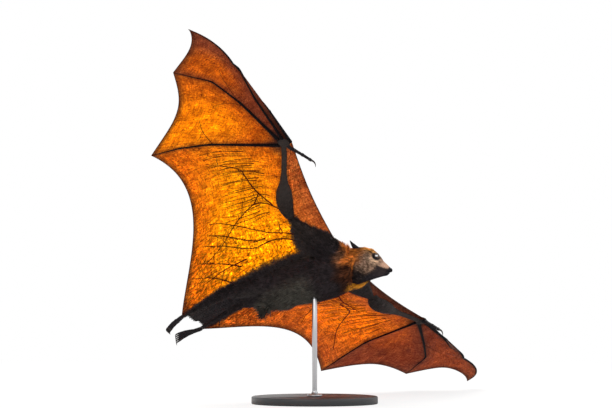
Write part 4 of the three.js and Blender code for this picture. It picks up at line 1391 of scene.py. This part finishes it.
def in_head(p):
    """Whether places in the body's frame lie under the head's skin."""
    q = (p - np.array(HEAD_AT, float)) @ HEAD_TURN - vec(SKULL_BACK, 0, 0)
    s = -q[:, 0]
    w, top, low = (table(s, HEAD, k) for k in (1, 2, 3))
    r = (q[:, 1] / w) ** 2 + (q[:, 2] / np.where(q[:, 2] > 0, top, -low)) ** 2
    return (r < 0.85) & (s < 62)


def body_coat(points, faces):
    """Roots and lie of the coat on trunk, neck and limbs, sorted by part."""
    rng = np.random.default_rng(5)
    names = [r["name"] for r in REGIONS]

    def density(p):
        return np.array([TUFTS[n][0] for n in names])[places_in(p)[1].argmin(0)]

    p, n = scatter(points, faces, density, rng)
    along, near = places_in(p)
    owner = near.argmin(0)
    weight = np.exp(-(near - near.min(0)) / 7.0)
    weight = weight / weight.sum(0)
    way = sum(w[:, None] * r["way"] for w, r in zip(weight, REGIONS))
    t = along[owner, np.arange(len(p))]
    rows = np.array([TUFTS[k] for k in names])
    length = sum(w * mix(row[1], row[2], s) for w, row, s in zip(weight, rows, along))
    width = sum(w * row[3] for w, row in zip(weight, rows))
    depth = sum(w * r["depth"] for w, r in zip(weight, REGIONS))
    keep = ~in_head(p)
    owner_name = np.array(names)[owner]
    keep &= ~((owner_name == "forearm") & (rng.random(len(p)) < step(0.18, 0.42, t)))
    length = np.where(owner_name == "forearm", length * mix(1.0, 0.55, step(0.05, 0.4, t)), length)
    keep &= ~((owner_name == "shin") & (t > 0.97))
    tail = np.linalg.norm(p - vec(-141.5, 0, -46), axis=1) < 12
    length = np.where(tail, 2.5, length)
    x, y, z = p.T
    groin = step(-82, -94, x) * step(-172, -150, x) * step(-18, -32, z - 0.25 * y) * step(-22, 0, y)
    length = length + 7 * groin  # long fur hangs below the far hip
    ear = np.minimum(*[np.linalg.norm(p - head_point(sided(EAR_AT, side)), axis=1) for _, side in SIDES])
    length = length * mix(0.4, 1, step(11, 24, ear))
    # How far a straight tuft leaves a round neck.
    round_over = np.where(owner_name == "neck", length**2 / 60, 0)
    rise = (np.maximum(depth - round_over, 1.5) + 6 * groin) * mix(0.25, 1, step(11, 26, ear))
    lift = np.minimum(rise / (0.55 * length), mix(0.85, 1.3, groin))
    mane = (owner_name == "neck") | (p[:, 0] > 5)
    tones = lock_tones(p, 3.6, 0.62, 1.4) * np.where(mane, lock_tones(p, 2.2, 0.28, 2.3), 1)
    tones = np.where(tail, 0.5, tones)
    tint = marking(p) * (tones * rng.uniform(0.75, 1.3, len(p)))[:, None]
    uv = np.empty((len(p), 2))
    for i, r in enumerate(REGIONS):
        mine = owner == i
        uv[mine] = unwrap(r, i, p[mine], t[mine])
    row = dict(p=p, n=n, way=way, length=length, width=width, lift=lift, tint=tint, uv=uv, owner=owner)
    return {k: v[keep] for k, v in row.items()}


def head_coat(flesh):
    """Roots and lie of the short coat on the head."""
    rng = np.random.default_rng(6)
    m, k, _ = flesh.shape
    faces = outward(flesh.reshape(-1, 3), [grid_faces(m, k, True)])

    def density(c):
        return HEAD_DENSITY * (1 - 0.6 * step(30, 60, -c[:, 0]))

    q, n = scatter(flesh.reshape(-1, 3), faces, density, rng)
    s = -q[:, 0]
    x, y, z = q.T
    eye = np.sqrt((x - EYE_AT[0]) ** 2 / 1.3 + (np.abs(y) - EYE_AT[1]) ** 2 + (z - EYE_AT[2]) ** 2)
    line = through([vec(x, 0, z) for x, z in MOUTH], 6)
    lip = np.sqrt(((q[:, None, [0, 2]] - line[None][..., [0, 2]]) ** 2).sum(-1)).min(1)
    keep = (s > 6.5) & (s < 67) & (eye > EYE_RADIUS + 2.2) & (lip > 1.3)
    keep &= rng.random(len(q)) < step(5, 16, s) * 0.85 + 0.15
    q, n, s = q[keep], n[keep], s[keep]
    way = np.stack([-np.ones_like(s), 0.25 * np.sign(q[:, 1]) * np.ones_like(s), -0.25 * step(20, 50, s)], -1)
    length, width = table(s, HEAD_TUFTS, 1), table(s, HEAD_TUFTS, 2)
    lift = np.minimum(table(s, HEAD_COAT, 1) / (0.55 * length), 0.55)
    # Longer hair under the jaw's far side, in the sunlit colour: painted rim light.
    rim = step(0.72, 0.95, n @ HEAD_TURN.T @ THROAT_SIDE) * step(23, 32, s)
    length, lift = length + 6 * rim, lift + 0.8 * rim
    drawn = q * vec(0.7, 1, 1)  # locks on the head are longer than wide
    tones = lock_tones(drawn, 1.6, 0.25, 2.0) * lock_tones(drawn, 3.2, 0.5, 1.5)
    light = mix(1, tones, 0.3 + 0.7 * step(12, 26, s)) * rng.uniform(0.65, 1.35, len(q))
    tint = over(face_colour(q), SUNLIT, rim) * light[:, None]
    around = np.arctan2(q[:, 2], q[:, 1]) / (2 * PI) + 0.5
    uv = cell(len(REGIONS), s / 75, around)
    turned = {"p": head_point(q), "n": n @ HEAD_TURN.T, "way": way @ HEAD_TURN.T}
    return {**turned, "length": length, "width": width, "lift": lift, "tint": tint, "uv": uv}, rng


def web_coat(name, shore):
    """Roots and lie of the fur that runs out on the webs from flank, upper arm and leg, on both faces."""
    w = WINGS[name]
    rng = np.random.default_rng(41 if w["side"] > 0 else 42)
    rows = []
    for web, (make_shape, count) in WEB_TUFTS.items():
        shape, on_leg = make_shape(w), web == "leg"
        u, v = rng.random((2, count))
        if web == "main":
            u = 1 - 0.75 * u**1.4
            v = np.where(rng.random(count) < 0.25, 0.22 * v, v)
        p = shape(u, v)
        n = web_normals(shape, u, v)
        found = [shore.find(q) for q in p.tolist()]
        off = np.array([f[2] for f in found])
        away = p - np.array([list(f[0]) for f in found])
        face = np.where(rng.random(count) < 0.5, 1.0, -1.0)
        reach = 0.62 + 0.3 * v if on_leg else fur_reach(p, shore) ** 1.6
        keep = (rng.random(count) < reach) & (off > 0.8) & (v < (0.99 if on_leg else 0.93))
        index = 2 * (w["side"] < 0) + (face > 0)
        length = rng.uniform(3.5, 7, count) * (0.8 if on_leg else 1.0)
        tint = (marking(p) * 0.6 + COAT_DARK * 0.4) * rng.uniform(0.7, 1.3, count)[:, None]
        row = {
            "p": p + n * (face * 0.45)[:, None], "n": n * face[:, None], "way": unit(away) + vec(-0.8, 0, 0),
            "length": length, "width": np.full(count, 0.7), "lift": np.full(count, 0.25), "tint": tint,
            "uv": cell(len(REGIONS) + 1 + index, u, v),
        }
        rows.append({k: a[keep] for k, a in row.items()})
    return {k: np.concatenate([row[k] for row in rows]) for k in rows[0]}


def grow_coat(points, faces, flesh, shore, material):
    roots = body_coat(points, faces)
    owner = roots.pop("owner")
    rng = np.random.default_rng(7)
    mane = (owner < 2) & (roots["p"][:, 0] > 2)
    groups = {"coat_trunk": (owner < 2) & ~mane, "coat_mane": mane}
    for limb_name, pair in (("arm_left", 1), ("arm_right", 3), ("leg_left", 2), ("leg_right", 4)):
        groups[f"coat_{limb_name}"] = owner // 2 == pair  # each limb is two regions
    tufts = [(name, {k: v[mine] for k, v in roots.items()}) for name, mine in groups.items()]
    tufts += [(f"coat_web_{name}", web_coat(name, shore)) for name, _ in SIDES]
    head, head_rng = head_coat(flesh)
    tufts.append(("coat_head", head))
    for name, rows in tufts:
        pieces = -(-len(rows["p"]) // MOST_TUFTS)
        slot = {"coat_head": "face_fur", "coat_mane": "collar_fur"}.get(name, "body_fur")
        fine = dict(rng=head_rng, lock=2.2, pull=0.25) if name == "coat_head" else dict(rng=rng)
        for part in range(pieces):
            chosen = {k: v[part::pieces] for k, v in rows.items()}
            build_coat(f"{name}_{part + 1}", material, slot, tuft_mesh(**chosen, **fine))

# ---------------------------------------------------------------- materials

class Nodes:
    """The nodes of a material or a world, made one by one."""

    def __init__(self, owner, kind="Material"):
        owner.use_nodes = True
        self.owner, self.tree = owner, owner.node_tree
        self.tree.nodes.clear()
        self.out = self.tree.nodes.new("ShaderNodeOutput" + kind)

    def link(self, value, socket):
        if isinstance(value, bpy.types.NodeSocket):
            self.tree.links.new(value, socket)
        else:
            socket.default_value = value

    def node(self, kind, settings=None, out=0, **inputs):
        n = self.tree.nodes.new("ShaderNode" + kind)
        for k, v in (settings or {}).items():
            setattr(n, k, v)
        for k, v in inputs.items():
            self.link(v, n.inputs[int(k[1:]) if k[0] == "i" and k[1:].isdigit() else k.replace("_", " ")])
        return n.outputs[out]

    def attribute(self, name, out="Color"):
        n = self.tree.nodes.new("ShaderNodeAttribute")
        n.attribute_name = name
        return n.outputs[out]

    def noise(self, vector, scale, detail=3.0, rough=0.55):
        return self.node("TexNoise", Vector=vector, Scale=scale, Detail=detail, Roughness=rough)

    def math(self, operation, a, b):
        return self.node("Math", {"operation": operation}, i0=a, i1=b)

    def span(self, value, lo, hi, to_lo, to_hi):
        """The value's range lo to hi, mapped to another, and held within it."""
        return self.node("MapRange", {"clamp": True}, i0=value, i1=lo, i2=hi, i3=to_lo, i4=to_hi)

    def tinted(self, colour, factor):
        """A colour made lighter or darker by a factor."""
        return self.node("VectorMath", {"operation": "SCALE"}, i0=colour, i3=factor)

    def blend(self, a, b, factor):
        return self.node("Mix", {"data_type": "RGBA"}, out=2, i0=factor, i6=a, i7=b)

    def scaled(self, vector, by):
        return self.node("VectorMath", {"operation": "MULTIPLY"}, i0=vector, i1=by)

    def bump(self, height, strength, distance):
        return self.node("Bump", i0=strength, i1=distance, Height=height)

    def place(self):
        return self.node("TexCoord", out="Object")

    def principled(self, **inputs):
        return self.node("BsdfPrincipled", **inputs)

    def done(self, shader):
        self.link(shader, self.out.inputs["Surface"])
        return self.owner


def new_material(name):
    return Nodes(bpy.data.materials.new(name))


def coat_material():
    n = new_material("fur")
    patch = n.span(n.noise(n.place(), 90.0), 0.3, 0.7, 0.70, 1.30)
    fine = n.span(n.noise(n.place(), 900.0, 2.0), 0.3, 0.7, 0.82, 1.18)
    colour = n.tinted(n.attribute("tint"), n.math("MULTIPLY", patch, fine))
    return n.done(n.principled(Base_Color=colour, Roughness=0.68, Specular_IOR_Level=0.07))


def skin_material():
    n = new_material("skin")
    at = n.place()
    patch = n.span(n.noise(at, 160.0), 0.3, 0.7, 0.80, 1.20)
    colour = n.tinted(n.attribute("tint"), patch)
    wrinkles = n.noise(at, 1300.0, 4.0)
    rows = n.node("TexVoronoi", {"feature": "DISTANCE_TO_EDGE"}, Vector=at, Scale=650.0)
    rows = n.span(rows, 0.0, 0.12, 0.0, 1.0)
    normal = n.bump(n.math("ADD", wrinkles, n.math("MULTIPLY", rows, 0.5)), 0.4, 0.0004)
    rough = n.span(n.noise(at, 300.0), 0.3, 0.7, 0.50, 0.68)
    return n.done(n.principled(Base_Color=colour, Roughness=rough, Specular_IOR_Level=0.08, Normal=normal))


def web_material():
    """Thin wing skin. The light behind it shows through."""
    n = new_material("wing_skin")
    grain, at, tint = n.attribute("grain", "Vector"), n.place(), n.attribute("tint")
    mottle = n.span(n.noise(at, 55.0, 4.0, 0.62), 0.32, 0.68, 0.74, 1.26)
    fine = n.span(n.noise(at, 420.0, 3.0, 0.6), 0.35, 0.65, 0.74, 1.26)
    speck = n.span(n.noise(at, 240.0, 1.0), 0.66, 0.72, 1.0, 0.45)
    lines = n.noise(n.scaled(grain, (420.0, 40.0, 1.0)), 1.0, 2.0)
    across = n.noise(n.scaled(grain, (60.0, 360.0, 1.0)), 1.0, 2.0)
    weave = n.math("MULTIPLY", n.span(lines, 0.35, 0.65, 0.80, 1.20), n.span(across, 0.35, 0.65, 0.80, 1.20))
    shade = n.math("MULTIPLY", n.math("MULTIPLY", mottle, fine), n.math("MULTIPLY", speck, weave))
    multiply = {"data_type": "RGBA", "blend_type": "MULTIPLY"}
    redder = n.node("Mix", multiply, out=2, i0=1.0, i6=tint, i7=(0.80, 0.55, 0.50, 1.0))
    warm = n.blend(tint, redder, n.span(n.noise(at, 28.0, 3.0), 0.48, 0.72, 0.0, 0.5))
    # In the painted glow, thicker skin lets less light through, so it is painted redder as well as darker.
    deep = n.math("POWER", shade, 1.5)  # thicker skin is redder as well as darker
    colour = n.scaled(warm, n.node("CombineXYZ", i0=shade, i1=deep, i2=deep))
    height = n.math("ADD", n.noise(at, 500.0, 4.0), n.math("ADD", lines, across))
    normal = n.bump(height, 0.35, 0.0006)
    face = n.principled(Base_Color=colour, Roughness=0.55, Specular_IOR_Level=0.05, Normal=normal)
    through_it = n.node("BsdfTranslucent", Color=colour, Normal=normal)
    return n.done(n.node("MixShader", i0=0.5, i1=face, i2=through_it))


def horn_material():
    n = new_material("horn")
    streak = n.span(n.noise(n.scaled(n.place(), (1.0, 3.0, 1.0)), 700.0), 0.3, 0.7, 0.75, 1.3)
    return n.done(n.principled(Base_Color=n.tinted(n.attribute("tint"), streak), Roughness=0.32,
                               Specular_IOR_Level=0.12))


def eye_material():
    n = new_material("eye")
    fleck = n.span(n.noise(n.place(), 1500.0, 3.0), 0.3, 0.7, 0.7, 1.4)
    return n.done(n.principled(Base_Color=n.tinted(n.attribute("tint"), fleck), Roughness=0.04,
                               Specular_IOR_Level=0.3))


def paint_material():
    """Satin dark grey powder coat."""
    n = new_material("powder_coat")
    at = n.place()
    grains = n.noise(at, 1800.0, 2.0)
    share = n.span(grains, 0.3, 0.7, 0.0, 1.0)
    colour = n.blend((0.020, 0.021, 0.023, 1.0), (0.030, 0.031, 0.034, 1.0), share)
    worn = n.span(n.noise(at, 14.0, 3.0), 0.35, 0.7, 0.40, 0.50)
    return n.done(n.principled(Base_Color=colour, Roughness=worn, Normal=n.bump(grains, 0.25, 0.0003)))


def steel_material():
    n = new_material("brushed_steel")
    streak = n.noise(n.scaled(n.place(), (2400.0, 2400.0, 12.0)), 1.0, 2.0)
    rough = n.span(streak, 0.3, 0.7, 0.28, 0.40)
    colour = n.blend((0.36, 0.36, 0.37, 1.0), (0.50, 0.50, 0.51, 1.0), streak)
    return n.done(n.principled(Base_Color=colour, Metallic=1.0, Roughness=rough))

# ---------------------------------------------------------------- stand

def turned(profile, name, material, slot, replaced, sides=128):
    """A turned part from its profile of (radius, height), in the model's frame."""
    a = turns(sides)
    rows = [np.stack([r * np.cos(a), r * np.sin(a), np.full(sides, z)], -1) for r, z in profile]
    points, faces = loft(np.array(rows))
    mesh = Pieces()
    mesh.add(points, faces, NIGHT)
    return mesh.build(name, material, slot, (replaced,), lambda p: p / 1000)


def corner(r, z, size, start, count=8):
    """A rounded corner of a profile, about (r, z), from one angle through a quarter turn."""
    a = np.radians(start + np.linspace(0, 90, count))
    return [(r + size * math.cos(t), z + size * math.sin(t)) for t in a]


def build_stand():
    paint_, steel = paint_material(), steel_material()
    r, top = BASE_RADIUS, BASE_THICK
    base = [(0.01, 0.0), (r - 1.0, 0.0), (r, 1.0)] + corner(r - 2.4, top - 2.4, 2.4, 0)
    base += [(r - 14, top), (r - 14.4, top - 0.35), (r - 15.2, top - 0.35), (r - 15.6, top), (0.01, top)]
    turned(base, "stand_disc", paint_, "stand_base", "stand_base")
    foot, rod = top + 0.3, ROD_RADIUS
    post = [(0.01, foot), (3 * rod - 0.4, foot), (3 * rod, foot + 0.4), (3 * rod, foot + 2.0)]
    post += corner(3 * rod - 1.0, foot + 2.0, 1.0, 0, 5)
    post += [(rod + 3.2 * (1 - t) ** 2.2 + 0.02, foot + 3 + 6 * t) for t in np.linspace(0, 1, 9)]
    post += [(rod, foot + 12), (rod, ROD_TOP * 0.5), (rod, ROD_TOP - 1)]
    post += [(rod - 0.8, ROD_TOP - 0.1), (0.01, ROD_TOP - 0.1)]
    turned(post, "stand_post", steel, "stand_rod", "stand_rod", 48)


# ---------------------------------------------------------------- floor and light

FLOOR_HALF = 90.0  # metres: the floor fills the view behind the bat
FLOOR_SHARE = 0.8  # how much of the floor's look is plain white by the stand; the rest takes light and shadow
SHADED, PLAIN = 0.4, 1.6  # metres from the stand: within the first it is so, past the second it is all white


def build_stage():
    """A wide white floor."""
    me = bpy.data.meshes.new("studio")
    r = FLOOR_HALF
    me.from_pydata([(-r, -r, 0), (r, -r, 0), (r, r, 0), (-r, r, 0)], [], [(0, 1, 2, 3)])
    ob = put("studio", me)
    n = new_material("studio_white")
    seen = n.node("LightPath", out="Is Camera Ray")
    white = n.node("Emission", Color=(1, 1, 1, 1), Strength=1.0)
    plain = n.node("BsdfDiffuse", Color=(0.9, 0.9, 0.9, 1))
    away = n.node("VectorMath", {"operation": "LENGTH"}, out=1, i0=n.place())
    share = n.math("MULTIPLY", seen, n.span(away, SHADED, PLAIN, FLOOR_SHARE, 1.0))
    me.materials.append(n.done(n.node("MixShader", i0=share, i1=plain, i2=white)))


def lamp(name, at, aim, size, watts, colour=(1, 1, 1)):
    data = bpy.data.lights.new(name, "AREA")
    data.shape, data.size, data.size_y = "RECTANGLE", size[0], size[1]
    data.energy, data.color = watts, colour
    ob = put(name, data)
    ob.location = at
    z = unit(np.array(at, float) - np.array(aim, float))
    x = unit(np.cross(UP, z))
    ob.rotation_euler = Matrix(np.stack([x, np.cross(z, x), z], -1).tolist()).to_euler()
    return ob


def light_the_scene():
    aim = (0, 0.05, 0.33)
    lamp("sun_side", (-0.7, 1.9, 2.2), aim, (1.8, 1.2), 62, (1.0, 0.97, 0.92))
    lamp("front", (-0.75, -1.55, 1.05), aim, (1.2, 0.8), 9)
    lamp("right", (2.2, -1.2, 1.2), aim, (1.2, 1.6), 12)
    catch = lamp("eye_light", (0.62, -0.63, 1.42), (0.098, -0.023, 0.235), (2.3, 1.5), 300)
    catch.visible_diffuse = False
    eyes = bpy.data.collections.new("eyes")
    for ob in scene.objects:
        if ob.name.startswith("eyeball"):
            eyes.objects.link(ob)
    catch.light_linking.receiver_collection = eyes
    scene.world = bpy.data.worlds.new("studio")
    n = Nodes(scene.world, "World")
    camera, glossy, through_it = (
        n.node("LightPath", out=f"Is {ray} Ray") for ray in ("Camera", "Glossy", "Transmission"))
    shown = n.math("MAXIMUM", camera, n.math("MAXIMUM", glossy, through_it))
    n.done(n.node("Background", Color=(1, 1, 1, 1), Strength=n.span(shown, 0.0, 1.0, 0.8, 1.0)))


# ---------------------------------------------------------------- the whole model

def build_bat():
    skin, claws = Pieces(), Pieces()
    points, faces = voxel_skin()
    points = smoothed(points, faces, 14)
    skin.add(points, faces, marking(points) * 0.7)
    flesh = add_head(skin)
    add_nose(skin)
    for name, side in SIDES:
        w = WINGS[name]
        add_lids(skin, side)
        add_ear(skin, side)
        add_thumb(skin, claws, w)
        add_foot(skin, claws, w)
    shore = coat_shore(points)
    nodes = ["trunk", "neck", "head", "nose"]
    for part in ("ear", "upper_arm", "forearm", "wrist", "thumb", "thigh", "shin", "foot"):
        nodes += [f"{part}_{name}" for name, _ in SIDES]
    skin.build("skin", skin_material(), "bare_skin", nodes)
    claws.build("claws", horn_material(), "claw", [f"thumb_claw_{name}" for name, _ in SIDES])
    shine, web = eye_material(), web_material()
    for name, side in SIDES:
        ball = Pieces()
        ball.add(*eyeball(side))
        ball.build(f"eyeball_{name}", shine, "eye", (f"eye_{name}",))
        wing_nodes = [f"finger_{d}_{name}" for d in DIGITS]
        wing_nodes += [f"web_{k}_{name}" for k in ("front", "2_3", "3_4", "4_5", "main", "leg")]
        wing_skin(WINGS[name], shore).build(f"wing_skin_{name}", web, "wing_membrane", wing_nodes)
    grow_coat(points, faces, flesh, shore, coat_material())


build_bat()
build_stand()
build_stage()
light_the_scene()
scene.view_settings.view_transform = "Standard"
